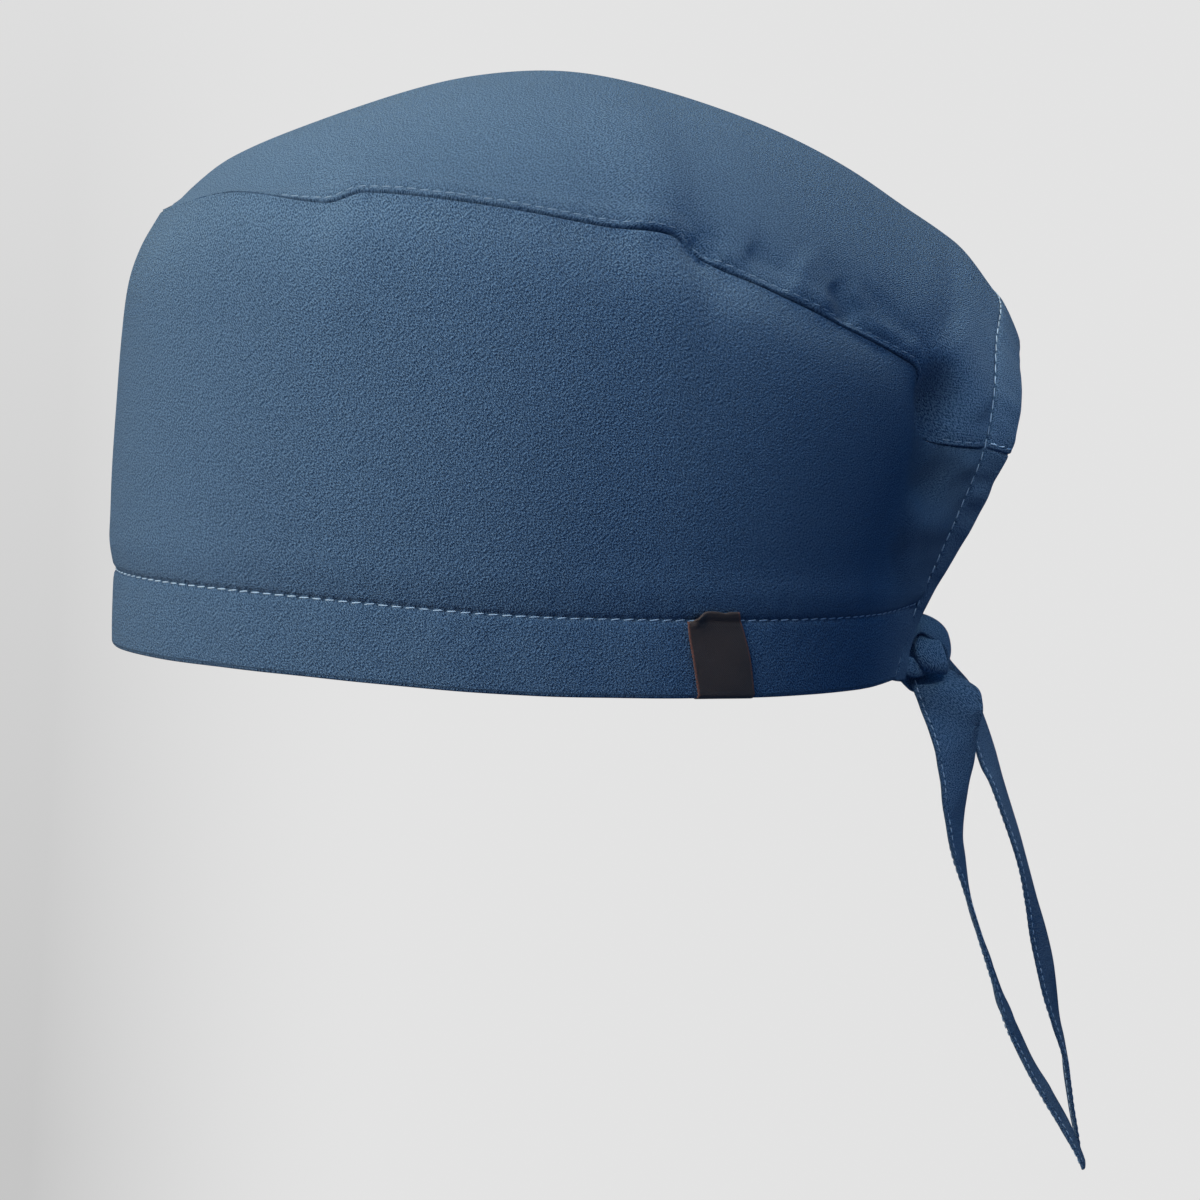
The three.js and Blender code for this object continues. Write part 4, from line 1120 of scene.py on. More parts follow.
@dataclass
class CrownCloth:
    """Crown panel with its pressed and edge-stitched seam."""

    shape: CapShape
    band: BandCloth
    along_count: int = 150
    across_count: int = 150
    cloth: float = 0.55
    proud: float = 0.45
    allowance: float = 6.0
    stitch_gap: float = 1.5
    roll: float = 0.7
    tuck: float = 1.0
    flat_width: float = 0.2
    flat_length: float = 0.25

    def __post_init__(self) -> None:
        """Measures the seam."""
        self.places = np.linspace(0, 2, 801)
        self.seam_run = line_run(self.shape.side_surface(self.places, np.ones_like(self.places)))

    def seam_place(self, along: Array, across: Array) -> tuple[Array, Array, Array]:
        """Nearest place of the seam.

        Args:
            along: From the casing (0) to the front (1).
            across: From the far side (-1) to the near one (1).

        Returns:
            Distances along the seam, distances to the seam, and distances to the casing line.
        """
        side = np.where(across < 0, -1.0, 1.0)
        points = self.shape.crown_surface(along, across)
        beside = np.linalg.norm(points - self.shape.crown_surface(along, side), axis=-1)
        ahead = np.linalg.norm(points - self.shape.crown_surface(np.ones_like(along), across), axis=-1)
        casing = np.linalg.norm(points - self.shape.crown_surface(np.zeros_like(along), across), axis=-1)
        near = along * self.shape.corner_share
        flank = np.interp(np.where(side > 0, near, 2 - near), self.places, self.seam_run)
        front = np.interp(1 - (1 - self.shape.corner_share) * across, self.places, self.seam_run)
        return np.where(beside < ahead, flank, front), np.minimum(beside, ahead), casing

    def relief(self, along: Array, across: Array, points: Array) -> Array:
        """Height of the cloth's small forms over the large one, in millimetres."""
        run, seam, casing = self.seam_place(along, across)
        back = smooth((points[..., 1] + 20) / 80)
        gathers = Ripple(12, 21, 13).at(run) * bump(seam - 3, 9) * (0.12 + 0.1 * back)
        raised = self.proud * (1 - smooth((seam - self.allowance + 2) / 3))
        billow = 0.3 * Billow(50, 105, 37).at(points) * smooth(seam / 14)
        casing_gathers = 0.2 * Ripple(9, 18, 29).at(points[..., 0]) * bump(casing, 12)
        body = gathers + billow + casing_gathers + creases_at(points) - sag(points)
        groove = 0.13 * bump(seam - self.stitch_gap, 0.5)
        line = 0.35 * bump(casing, 0.8)
        rolled = (self.roll + self.proud) * (1 - np.sqrt(1 - np.square(1 - np.clip(seam / self.roll, 0, 1))))
        fade = smooth(seam / 1.2) * smooth(casing / 1.6)
        cover = HIDDEN_SEAM.at(points)
        edge = raised * smooth(casing / 1.6) - groove - rolled
        lip = HIDDEN_SEAM.lip * cover * bump(seam, HIDDEN_SEAM.lip_width)
        return body * fade + edge * (1 - cover) - line - lip

    def lifted(self, along: Array, across: Array) -> tuple[Array, Array]:
        """The crown's outer face: points, and unit normals of the large form."""
        along, across = (np.array(a) for a in np.broadcast_arrays(along, across))
        points = self.shape.crown_surface(along, across)
        normals = surface_normals(self.shape.crown_surface, np.clip(along, 0.003, 0.99),
                                  np.clip(across, -0.99, 0.99))
        return points + normals * self.relief(along, across, points)[..., None], normals

    def build(self, finishes: Finishes) -> bpy.types.Object:
        """Makes the crown from the casing to the front of the seam."""
        fine = (0, 0.002, 0.0045, 0.008, 0.012, 0.016, 0.02, 0.026, 0.034)
        along = fine_stops(0, 1, self.along_count, fine)
        along = np.append(along, 1.0)
        across = fine_stops(-1, 1, self.across_count, tuple(1.6 * f for f in fine))
        across = np.concatenate([[-1.0], across, [1.0]])
        grid, ahead = np.meshgrid(across, along)
        points, normals = self.lifted(ahead, grid)
        points[-1] -= normals[-1] * self.tuck
        points[:-1, 0] -= normals[:-1, 0] * self.tuck
        points[:-1, -1] -= normals[:-1, -1] * self.tuck
        run, seam, _ = self.seam_place(ahead, grid)
        ridge = line_run(self.shape.crown_surface(along, np.zeros_like(along)))
        base = self.shape.crown_surface(ahead, grid)
        cross = np.concatenate([np.zeros((len(along), 1)),
                                np.cumsum(np.linalg.norm(np.diff(base, axis=1), axis=-1), 1)], 1)
        cross -= cross[:, [len(across) // 2]]
        uv = np.stack([cross, ridge[:, None] + np.zeros_like(cross)], -1) * MM
        # pull scales the seam's stitch dimples and their painted shade, fading where a fold of the band hides
        # the seam.
        pull = 0.3 * (1 - HIDDEN_SEAM.at(base))
        gap = np.clip(seam - self.stitch_gap, -9, 9)
        sheet = SheetMesh("crown_cloth", points, uv, run=run, gap=gap, pull=pull)
        piece = sheet.face_away((0, 10, 40)).finish(finishes.cloth, self.cloth)
        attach(piece, "root")
        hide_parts("crown_panel")
        return piece

    def stitch_line(self) -> list[tuple[Array, Array]]:
        """The edge-stitching just above the seam, from the near casing round the front to the far one."""
        along = np.linspace(0, 1, 500)
        across = np.linspace(1, -1, 400)
        inset = self.stitch_gap
        ridge = np.linalg.norm(self.shape.crown_surface(along, np.full_like(along, 0.95))
                               - self.shape.crown_surface(along, np.ones_like(along)), axis=-1)
        share = 1 - 0.05 * inset / ridge
        front = np.linalg.norm(self.shape.crown_surface(np.full_like(across, 0.97), across)
                               - self.shape.crown_surface(np.ones_like(across), across), axis=-1)
        ahead = 1 - 0.03 * inset / front
        limit = 1 - 0.05 * inset / ridge[-1]
        inner = np.abs(across) < limit
        near, near_up = self.lifted(along[along < ahead[0]], share[along < ahead[0]])
        far, far_up = self.lifted(along[along < ahead[-1]], -share[along < ahead[-1]])
        over, over_up = self.lifted(ahead[inner], across[inner])
        points = np.concatenate([near, over, far[::-1]])
        outward = np.concatenate([near_up, over_up, far_up[::-1]])
        shown = HIDDEN_SEAM.at(points) < 0.3
        breaks = np.flatnonzero(np.diff(shown.astype(int))) + 1
        pieces = zip(np.split(points, breaks), np.split(outward, breaks), np.split(shown, breaks))
        return [(line, up) for line, up, seen in pieces if seen[0] and len(line) > 5]


@dataclass
class CasingCloth:
    """Folded channel round the back opening, filled by its drawstring."""

    shape: CapShape
    columns: int = 300
    cloth: float = 0.5
    depth: float = 1.9
    swell: float = 0.45
    proud: float = 0.35
    foot_drop: float = 1.2
    allowance: float = 5.5
    flat_width: float = 0.3
    flat_length: float = 0.027

    def __post_init__(self) -> None:
        """Measures the stitch line."""
        self.places = np.linspace(0, 2, 801)
        self.line = line_run(self.shape.casing_frame(self.places)[0])

    def run(self, place: Array) -> Array:
        """Distance along the stitch line from the near foot."""
        return np.interp(place, self.places, self.line)

    def seam_side(self, place: Array) -> Array:
        """Distance past the crossing crown seam, positive on the crown's side."""
        seams = self.run(np.array([self.shape.seam_at, 2 - self.shape.seam_at]))
        run = self.run(place)
        return np.minimum(run - seams[0], seams[1] - run)

    def lifted(self, place: Array, over: Array) -> tuple[Array, Array]:
        """The casing's outer face.

        Args:
            place: From the near foot (0) over the top (1) to the far foot (2).
            over: From the stitch line (0) to the edge (1).

        Returns:
            Points and outward unit vectors.
        """
        place, over = (np.array(a) for a in np.broadcast_arrays(place, over))
        start, across, outward, width = self.shape.casing_frame(place)
        run, crossing = self.run(place), self.seam_side(place)
        foot = bump(np.minimum(run, self.line[-1] - run), 22)
        full = np.sin(np.clip(over, 0, 1) * math.pi) ** 0.8
        gathers = Ripple(6, 13, 17).at(run + 2.5 * over) * (0.16 + 0.3 * foot)
        folds = (-0.8 * bump(crossing + 8.5, 2.0) - 0.5 * bump(crossing + 17, 2.6)
                 + 0.4 * bump(crossing + 12.5, 2.4))
        raised = self.proud * smooth(crossing / 0.5) * (1 - smooth((crossing - self.allowance + 2) / 3))
        seam = 0.4 * bump(crossing, 0.45) + 0.12 * bump(crossing - 1.5, 0.5)
        height = (self.swell * full + (gathers + folds) * full + raised - seam) * smooth(over / 0.12 + 0.05)
        groove = 0.4 * bump(over * width, 0.8)
        points = start + across * (over * width)[..., None] + outward * (height - groove)[..., None]
        return points + self.trim(place, over, start[..., 2]), outward

    def trim(self, place: Array, over: Array, height: Array) -> Array:
        """Small corrections of the edge: its two feet reach the hem's lower edge, and its bow is evened out.

        Args:
            place: From the near foot (0) over the top (1) to the far foot (2).
            over: From the stitch line (0) to the edge (1).
            height: Height above the rim in millimetres.

        Returns:
            Shifts in millimetres.
        """
        run = self.run(place)
        foot = (bump(np.minimum(run, self.line[-1] - run), 6.0) * over)[..., None]
        back = ((bump(height - 95, 7.0) + 0.9 * bump(height - 55, 7.0)) * over)[..., None]
        return foot * np.array([0.0, 1.0, -self.foot_drop]) - back * np.array([0.0, 1.0, 0.0])

    def build(self, finishes: Finishes) -> bpy.types.Object:
        """Makes the channel: outer face, folded edge and inner face."""
        seam = self.shape.seam_at
        fine = np.array([-0.012, -0.008, -0.005, -0.003, -0.0015, 0, 0.0015, 0.003, 0.005, 0.008, 0.012])
        place = np.unique(np.concatenate([np.linspace(0, 2, self.columns), seam + fine, 2 - seam + fine]))
        over = np.concatenate([[0, 0.03, 0.07], np.linspace(0.12, 0.93, 14)])
        start, across, outward, width = self.shape.casing_frame(place)
        rows, cuts = [], []
        for share in over:
            rows.append(self.lifted(place, np.full_like(place, share))[0])
            cuts.append(share * self.shape.casing_width)
        rim = rows[-1]
        radius = self.depth / 2
        for angle in np.linspace(0, math.pi, 9)[1:]:
            rows.append(rim + across * radius * math.sin(angle) * 0.9
                        - outward * radius * (1 - math.cos(angle)))
            cuts.append(0.93 * self.shape.casing_width + radius * angle)
        for share in np.linspace(0.85, 0.0, 8):
            inner = start + across * (share * width)[:, None] - outward * self.depth
            rows.append(inner + self.trim(place, np.full_like(place, share), start[:, 2]))
            cuts.append(self.shape.casing_width * (2 - share) + 1.5)
        points = np.stack(rows)
        cut = np.array(cuts)[:, None] + np.zeros_like(place)
        run = self.run(place)[None, :] + np.zeros_like(cut)
        uv = np.stack([run, cut], -1) * MM
        sheet = SheetMesh("casing_cloth", points, uv, run=run, gap=np.clip(cut, -9, 9), pull=0.7 + 0 * run)
        middle = points[: len(over)].mean(axis=(0, 1))
        piece = sheet.face_away(tuple(middle - np.array([0.0, 60.0, 0.0]))).finish(finishes.cloth, self.cloth)
        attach(piece, "root")
        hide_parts("back_casing")
        return piece

    def stitch_lines(self) -> list[tuple[Array, Array]]:
        """The casing's own stitch line and the crown's stitches that run on across it."""
        place = np.linspace(0.004, 1.996, 900)
        lines = [self.lifted(place, np.full_like(place, 0.01))]
        for at in (self.shape.seam_at + 0.0125, 2 - self.shape.seam_at - 0.0125):
            over = np.linspace(0.06, 0.97, 60)
            lines.append(self.lifted(np.full_like(over, at), over))
        return lines


@dataclass(frozen=True)
class PhotoCamera:
    """Camera at the photograph's viewing angle."""

    azimuth: float = 75.0
    elevation: float = 4.53
    roll: float = 2.6
    distance: float = 1.25
    scale: float = 0.256
    aside: float = 0.023
    height: float = 0.0178
    frame_pixels: float = 1200.0
    sensor: float = 36.0

    def on_plane(self, across: float, down: float, x: float) -> Array:
        """Point where the sight line of a pixel of the photograph meets an upright plane.

        Args:
            across: Pixel counted from the left edge.
            down: Pixel counted from the top edge.
            x: Place of the plane in millimetres.

        Returns:
            The point in millimetres.
        """
        a, e, roll = (math.radians(v) for v in (self.azimuth, self.elevation, self.roll))
        back = np.array((math.sin(a) * math.cos(e), -math.cos(a) * math.cos(e), math.sin(e)))
        right = np.array((math.cos(a), math.sin(a), 0.0))
        eye = (right * self.aside + np.array((0.0, 0.0, self.height)) + back * self.distance) / MM
        focal = self.distance / MM / self.scale
        dx, dy = across - self.frame_pixels / 2, down - self.frame_pixels / 2
        aside = (dx * math.cos(roll) + dy * math.sin(roll)) / focal
        below = (dy * math.cos(roll) - dx * math.sin(roll)) / focal
        sight = right * aside - np.cross(back, right) * below - back
        return eye + (x - eye[0]) / sight[0] * sight

    def build(self) -> bpy.types.Object:
        """Makes the camera and gives it to the scene."""
        a, e, roll = (math.radians(v) for v in (self.azimuth, self.elevation, self.roll))
        back = Vector((math.sin(a) * math.cos(e), -math.cos(a) * math.cos(e), math.sin(e)))
        right = Vector((math.cos(a), math.sin(a), 0.0))
        up = back.cross(right)
        target = right * self.aside + Vector((0.0, 0.0, self.height))
        turned_right = right * math.cos(roll) + up * math.sin(roll)
        turned_up = back.cross(turned_right)
        data = bpy.data.cameras.new("photo_camera")
        data.sensor_width = self.sensor
        data.lens = self.distance * 1000 / self.scale / self.frame_pixels * self.sensor
        data.clip_start, data.clip_end = 0.05, 50.0
        camera = bpy.data.objects.new("photo_camera", data)
        rotation = Matrix((turned_right, turned_up, back)).transposed().to_4x4()
        camera.matrix_world = Matrix.Translation(target + back * self.distance) @ rotation
        bpy.context.scene.collection.objects.link(camera)
        bpy.context.scene.camera = camera
        return camera


PHOTO_CAMERA = PhotoCamera()
TAPE_WIDTH = 16.0


@dataclass(frozen=True)
class EdgePair:
    """The two edges of a run at one place, as pixels of the photograph, with guessed depths x."""

    left: tuple[float, float]
    right: tuple[float, float]
    left_x: float
    right_x: float
    thick: float

    def row(self) -> tuple[float, ...]:
        """Place, direction, slope, width and thickness of the section between the edges."""
        first = PHOTO_CAMERA.on_plane(*self.left, self.left_x)
        last = PHOTO_CAMERA.on_plane(*self.right, self.right_x)
        across = last - first
        width = float(np.linalg.norm(across))
        turn = math.degrees(math.atan2(across[1], across[0]))
        rise = math.degrees(math.asin(across[2] / width))
        return (*((first + last) / 2), turn, rise, width, self.thick)


@dataclass(frozen=True)
class TailLevel:
    """The two edges of a hanging tail on one pixel line of the photograph, with a guessed depth x."""

    line: float
    left: float
    right: float
    x: float
    thick: float = 1.4
    square_on: float = 165.0
    slant: float = 0.966
    edge_share: float = 0.9

    def row(self) -> tuple[float, ...]:
        """Place of the tape, and the turn at which it shows the width between the edges."""
        first = PHOTO_CAMERA.on_plane(self.left, self.line, self.x)
        last = PHOTO_CAMERA.on_plane(self.right, self.line, self.x)
        shown = float(np.linalg.norm(last - first)) * self.slant - self.thick * self.edge_share
        turned = math.degrees(math.asin(min(max(shown / TAPE_WIDTH, 0.0), 1.0)))
        return (*((first + last) / 2), self.square_on - turned, 0.0, TAPE_WIDTH, self.thick)


@dataclass(frozen=True)
class RibbonPath:
    """Stops of a cloth tie: places in millimetres, and the direction, width and thickness of its section.

    turn: direction of the width in plan, in degrees from +X. rise: its slope upwards, in degrees.
    """

    stops: tuple[EdgePair | TailLevel | tuple[float, ...], ...]

    def read(self, share: Array) -> dict[str, Array]:
        """Reads the stops at shares of the length."""
        rows = [stop if isinstance(stop, tuple) else stop.row() for stop in self.stops]
        at = np.linspace(0, 1, len(rows))
        table = Table(("at", "x", "y", "z", "turn", "rise", "width", "thick"),
                      tuple((a, *row) for a, row in zip(at, rows)))
        return table.read(share)


@dataclass(frozen=True)
class Ribbon:
    """One run of the tie: a flattened tube of folded cloth."""

    name: str
    path: RibbonPath
    steps: int = 60
    sides: int = 28
    crumple: float = 0.25
    seed: int = 3
    squareness: float = 0.45
    sewn: bool = False

    def frames(self, share: Array) -> tuple[Array, Array, Array, dict[str, Array]]:
        """Directions of the section along the run.

        Args:
            share: Places along the run, 0 to 1.

        Returns:
            Centres, unit vectors across the width, unit vectors through the thickness, and the stops read.
        """
        row = self.path.read(share)
        centre = np.stack([row["x"], row["y"], row["z"]], -1)
        after = self.path.read(np.minimum(share + 0.01, 1))
        before = self.path.read(np.maximum(share - 0.01, 0))
        along = unit(np.stack([after[k] - before[k] for k in "xyz"], -1))
        turn, rise = np.radians(row["turn"]), np.radians(row["rise"])
        across = np.stack([np.cos(turn) * np.cos(rise), np.sin(turn) * np.cos(rise), np.sin(rise)], -1)
        return centre, across, unit(np.cross(across, along)), row

    def build(self, finishes: Finishes) -> bpy.types.Object:
        """Makes the run as a closed tube."""
        share = np.linspace(0, 1, self.steps)
        centre, across, through, row = self.frames(share)
        angle = np.linspace(0, 2 * math.pi, self.sides + 1)
        wide = np.sign(np.cos(angle)) * np.abs(np.cos(angle)) ** 0.75
        thick = np.sign(np.sin(angle)) * np.abs(np.sin(angle)) ** self.squareness
        run = line_run(centre)
        wave = self.crumple * Ripple(11, 26, self.seed).at(run[:, None] + 3.0 * wide[None, :])
        wave = wave * smooth((1 - np.abs(wide)) * 3)[None, :]
        reach = (row["width"] / 2)[:, None] * wide[None, :]
        depth = (row["thick"] / 2)[:, None] * thick[None, :] + wave
        points = centre[:, None] + across[:, None] * reach[..., None] + through[:, None] * depth[..., None]
        points[:, -1] = points[:, 0]
        middle = np.diff(points[self.steps // 2], axis=0)
        girth = np.concatenate([[0.0], np.cumsum(np.linalg.norm(middle, axis=-1))])
        uv = np.stack([girth[None, :] + np.zeros((self.steps, 1)),
                       run[:, None] + np.zeros_like(angle)], -1) * MM
        gap = np.minimum(np.abs(wide[None, :] + 1) * (row["width"] / 2)[:, None],
                         np.abs(wide[None, :] - 1) * (row["width"] / 2)[:, None]) - 1.1
        sheet = SheetMesh(self.name, points, uv, run=run[:, None] + np.zeros_like(reach), gap=gap,
                          pull=np.full_like(reach, 0.6 if self.sewn else 0.0))
        piece = sheet.close_tube().finish(finishes.cloth)
        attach(piece, "root")
        return piece

    def edge_lines(self, first: float, last: float, inset: float = 1.1) -> list[tuple[Array, Array]]:
        """Stitch lines beside one edge, on both faces.

        Args:
            first: Share of the run where they start.
            last: Share of the run where they end.
            inset: Distance from the edge in millimetres.

        Returns:
            Points and outward vectors of each line.
        """
        share = np.linspace(first, last, 300)
        centre, across, through, row = self.frames(share)
        reach = row["width"] / 2 - inset
        wide = reach / (row["width"] / 2)
        angle = np.arccos(np.clip(wide, 0, 1) ** (1 / 0.75))
        thick = np.sin(angle) ** self.squareness * row["thick"] / 2
        run = line_run(centre)
        wave = self.crumple * Ripple(11, 26, self.seed).at(run - 3.0 * wide) * smooth((1 - wide) * 3)
        lines = []
        for face in (1.0, -1.0):
            points = centre - across * reach[:, None] + through * (face * thick + wave)[:, None]
            lines.append((points, through * face))
        return lines


NEAR_TIE = RibbonPath((
    EdgePair((914, 674), (919, 664), 3.0, 2.0, 1.6),
    EdgePair((910, 676), (936, 663), 4.8, 3.4, 1.8),
    EdgePair((909.5, 679), (951, 671), 6.2, 4.8, 1.8),
    EdgePair((911, 683), (966, 680.5), 7.4, 6.2, 1.7),
    EdgePair((913, 690), (979, 689.5), 8.2, 7.6, 1.5),
    EdgePair((917, 700), (982.5, 701), 8.4, 8.4, 1.4),
    EdgePair((920.5, 710), (983, 713), 8.6, 8.6, 1.4),
    TailLevel(728, 925, 982, 8.6),
    TailLevel(748, 931.5, 979.5, 8.5),
    TailLevel(765, 934.5, 977, 8.3),
    TailLevel(782, 937.5, 973, 8.0),
    TailLevel(800, 939, 970, 7.6),
    TailLevel(818, 942, 967.5, 7.2),
    TailLevel(840, 946, 966, 6.8),
    TailLevel(858, 951, 968, 6.4),
    TailLevel(885, 960, 971, 6.0),
    TailLevel(915, 970, 977, 5.8),
    TailLevel(945, 979, 986, 5.6),
    TailLevel(975, 988, 998, 5.5),
    TailLevel(1005, 997, 1009, 5.5),
    TailLevel(1035, 1008, 1023, 5.6),
    TailLevel(1065, 1023, 1037, 5.7),
    TailLevel(1095, 1040, 1055, 5.9),
    TailLevel(1125, 1058, 1072, 6.2),
    TailLevel(1150, 1073, 1082, 6.3, 1.2),
    TailLevel(1164, 1078.5, 1087, 6.4, 1.2),
))
FAR_TIE = RibbonPath((
    EdgePair((930, 655), (942, 648), 1.0, -1.0, 1.8),
    EdgePair((936, 668), (950, 660), -0.5, -2.5, 1.8),
    (-3.8, 122.0, -1.6, 118, 13, 8.0, 1.6),
    (-5.2, 125.7, -5.9, 142, 0, 14.0, 1.4),
    (-6.2, 128.6, -10.3, 145, 0, 16.0, 1.4),
    TailLevel(730, 967, 991.5, -6.8),
    TailLevel(750, 973, 998, -7.3),
    TailLevel(765, 978, 1002, -7.7),
    TailLevel(780, 986, 1006, -8.1),
    TailLevel(810, 998, 1015, -8.5),
    TailLevel(840, 1008, 1024, -8.5),
    TailLevel(870, 1017, 1032, -8.5),
    TailLevel(900, 1022, 1040, -8.5),
    TailLevel(930, 1026, 1049, -8.5),
    TailLevel(960, 1032, 1056, -8.6),
    TailLevel(990, 1039, 1060, -8.8),
    TailLevel(1020, 1049, 1063, -9.0),
    (-9.2, 160.4, -101.5, 161, 0, 16.0, 1.4),
    (-9.4, 162.3, -109.7, 163, 0, 16.0, 1.4),
    (-9.8, 164.0, -117.9, 163, 0, 16.0, 1.4),
    (-10.2, 166.0, -125.4, 162, 0, 16.0, 1.2),
    (-10.5, 167.1, -130.0, 162, 0, 16.0, 1.2),
))
UPPER_LOOP = RibbonPath((
    EdgePair((908, 646), (909, 612), 13.0, 9.0, 1.6),
    EdgePair((920, 633), (923, 614.5), 11.5, 6.0, 1.8),
    EdgePair((930, 638), (935, 620), 10.2, 3.6, 1.9),
    EdgePair((938.5, 643), (944, 629), 8.0, 0.6, 2.0),
    EdgePair((944, 650.5), (947.4, 640), 5.6, -1.6, 2.0),
    EdgePair((945.5, 659), (948, 652), 4.0, -3.4, 1.8),
    EdgePair((942, 670), (944, 664), 3.0, -4.0, 1.6),
))
WRAP = RibbonPath((
    EdgePair((921, 627), (930, 634), 7.5, 5.5, 2.0),
    EdgePair((917.5, 634), (936, 640), 9.0, 6.5, 2.6),
    EdgePair((915, 643), (941, 646), 10.6, 8.0, 3.2),
    EdgePair((914.5, 652), (944.5, 655), 11.8, 9.4, 3.6),
    EdgePair((916.5, 660), (947, 664), 12.2, 10.0, 3.6),
    EdgePair((919, 665), (948, 669.5), 11.6, 9.6, 3.0),
    EdgePair((921, 668), (947, 673), 10.0, 8.4, 2.0),
))
TUCK = RibbonPath((
    (11.8, 103.0, 3.4, 133, 78, 4.2, 1.4),
    (11.7, 104.4, 3.0, 138, 78, 5.0, 2.2),
    (11.1, 106.1, 2.5, 137, 77, 5.0, 2.6),
    (10.2, 107.9, 2.1, 134, 78, 4.0, 2.2),
    (8.9, 109.6, 1.7, 127, 77, 2.6, 1.6),
))
LOW_LEAD = RibbonPath((
    (7.0, 103.9, 0.2, 90, 81, 2.7, 1.6),
    (6.2, 105.8, -1.1, 90, 88, 3.5, 1.8),
    (5.4, 107.4, -2.1, 90, 92, 3.9, 1.8),
    (4.6, 109.0, -2.8, 90, 96, 3.7, 1.6),
))
FAR_LEAD = RibbonPath((
    (-12.2, 104.6, 9.0, 180, 88, 9.0, 1.8),
    (-9.0, 107.8, 9.0, 180, 86, 9.0, 2.6),
    (-5.0, 111.2, 8.0, 180, 80, 9.0, 3.6),
    (-1.0, 113.4, 6.4, 170, 72, 8.6, 4.0),
    (2.2, 113.4, 4.0, 160, 60, 8.0, 3.4),
))


@dataclass
class TiesAndKnot:
    """The two tails and the half knot that their upper ends make."""

    tail_steps: int = 260
    knot_steps: int = 70

    def build(self, finishes: Finishes) -> list[bpy.types.Object]:
        """Makes the knot's runs, the tails and their stitching."""
        near = Ribbon("tie_near", NEAR_TIE, self.tail_steps, crumple=0.22, seed=2, sewn=True)
        far = Ribbon("tie_far", FAR_TIE, self.tail_steps, crumple=0.2, seed=6, sewn=True)
        near_piece, far_piece = near.build(finishes), far.build(finishes)
        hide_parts("tie_left")
        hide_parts("tie_right")
        runs = (
            Ribbon("knot_upper_loop", UPPER_LOOP, self.knot_steps, crumple=0.12, seed=4, squareness=0.6),
            Ribbon("knot_wrap", WRAP, self.knot_steps, crumple=0.12, seed=8, squareness=0.8),
            Ribbon("knot_far_lead", FAR_LEAD, self.knot_steps, crumple=0.2, seed=9, squareness=0.7),
            Ribbon("knot_low_lead", LOW_LEAD, self.knot_steps, crumple=0.08, seed=10, squareness=0.6),
            Ribbon("knot_tuck", TUCK, self.knot_steps, crumple=0.08, seed=14, squareness=0.8),
        )
        knot = [run.build(finishes) for run in runs]
        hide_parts("tie_knot")
        sewn = StitchRow("tie_stitches", radius=0.17, length=1.5, pitch=2.1, lift=0.0, seed=12).build(
            near.edge_lines(0.1, 0.985) + far.edge_lines(0.16, 0.985), finishes.thread)
        return [near_piece, far_piece, *knot, sewn]


@dataclass
class LabelTape:
    """Short woven tape folded round the hem and caught in its stitching, its face left bare."""

    band: BandCloth
    width: float = 15.5
    station: float = 37.2
    lean: float = 6.1
    top: float = 1.14
    corner_drop: float = 0.15
    inner_top: float = 0.85
    thickness: float = 0.45
    clearance: float = 0.75
    columns: int = 44

    def build(self, finishes: Finishes) -> bpy.types.Object:
        """Makes the tape from its outer end under the rim to its inner end."""
        shape = self.band.shape
        places = np.linspace(0, shape.widest_share, 400)
        stations = shape.hem_surface(places, np.full_like(places, 0.5))[:, 1]
        across = np.linspace(-0.5, 0.5, self.columns)
        # the tape's left end, seen from outside, is the one nearer the forehead
        corner = self.corner_drop * smooth((-across - 0.08) / 0.4) + 0.02 * bump(across - 0.22, 0.1)
        curl = bump(across + 0.3, 0.12)
        rows, cuts = [], []

        def outer(up: Array) -> tuple[Array, Array]:
            """Points of the hem's face under the tape, and their normals."""
            narrowed = self.width * (1 - 0.08 * np.clip(up, 0, 1) ** 3)
            station = self.station + across * narrowed - self.lean * up
            place = np.interp(-station, -stations, places)
            above = shape.hem_height * (up - 1)
            height = np.where(up < 1, up - 1, above / self.band.band_height)
            return self.band.lifted(place, np.maximum(height, -0.93))

        for share in np.linspace(1, 0.1, 34):
            up = share * (self.top - corner * smooth((share - 0.6) / 0.4))
            points, normals = outer(up)
            free = smooth((share - 0.82) / 0.18)
            lift = self.clearance + 0.35 * bump((up - 1.0) * 19.4, 1.2) + free * (0.2 + 0.9 * curl)
            lift = lift + 0.07 * np.sin(across * 6 + share * 5) * np.sin(share * 9)
            rows.append(points + normals * lift[:, None])
            cuts.append(up.mean() * shape.hem_height)
        low, normals = outer(np.full_like(across, 0.07))
        flat = unit(normals * np.array([1.0, 1.0, 0.0]))
        depth = self.band.hem_depth + 0.55 + 2 * self.clearance
        down = self.band.hem_depth * 0.6 + self.thickness - 0.15
        for angle in np.linspace(0, math.pi, 13):
            turn = np.array([0.0, 0.0, -math.sin(angle) * down])
            rows.append(low + flat * (self.clearance - depth / 2 * (1 - math.cos(angle))) + turn)
            cuts.append(-angle * depth / 2)
        for share in np.linspace(0.12, self.inner_top, 12):
            rise = np.array([0.0, 0.0, (share - 0.07) * shape.hem_height])
            rows.append(low + flat * (self.clearance - depth) + rise)
            cuts.append(-math.pi * depth / 2 - share * shape.hem_height)
        points = np.stack(rows)
        cut = np.array(cuts)[:, None] + np.zeros_like(across)
        uv = np.stack([across[None, :] * self.width + np.zeros_like(cut), cut], -1) * MM
        sheet = SheetMesh("label_tape", points, uv)
        piece = sheet.face_away(tuple(low.mean(0) - flat.mean(0) * depth / 2 + np.array([0.0, 0.0, 9.0])))
        piece = piece.finish(finishes.tape, self.thickness)
        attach(piece, "root")
        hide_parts("side_label")
        return piece


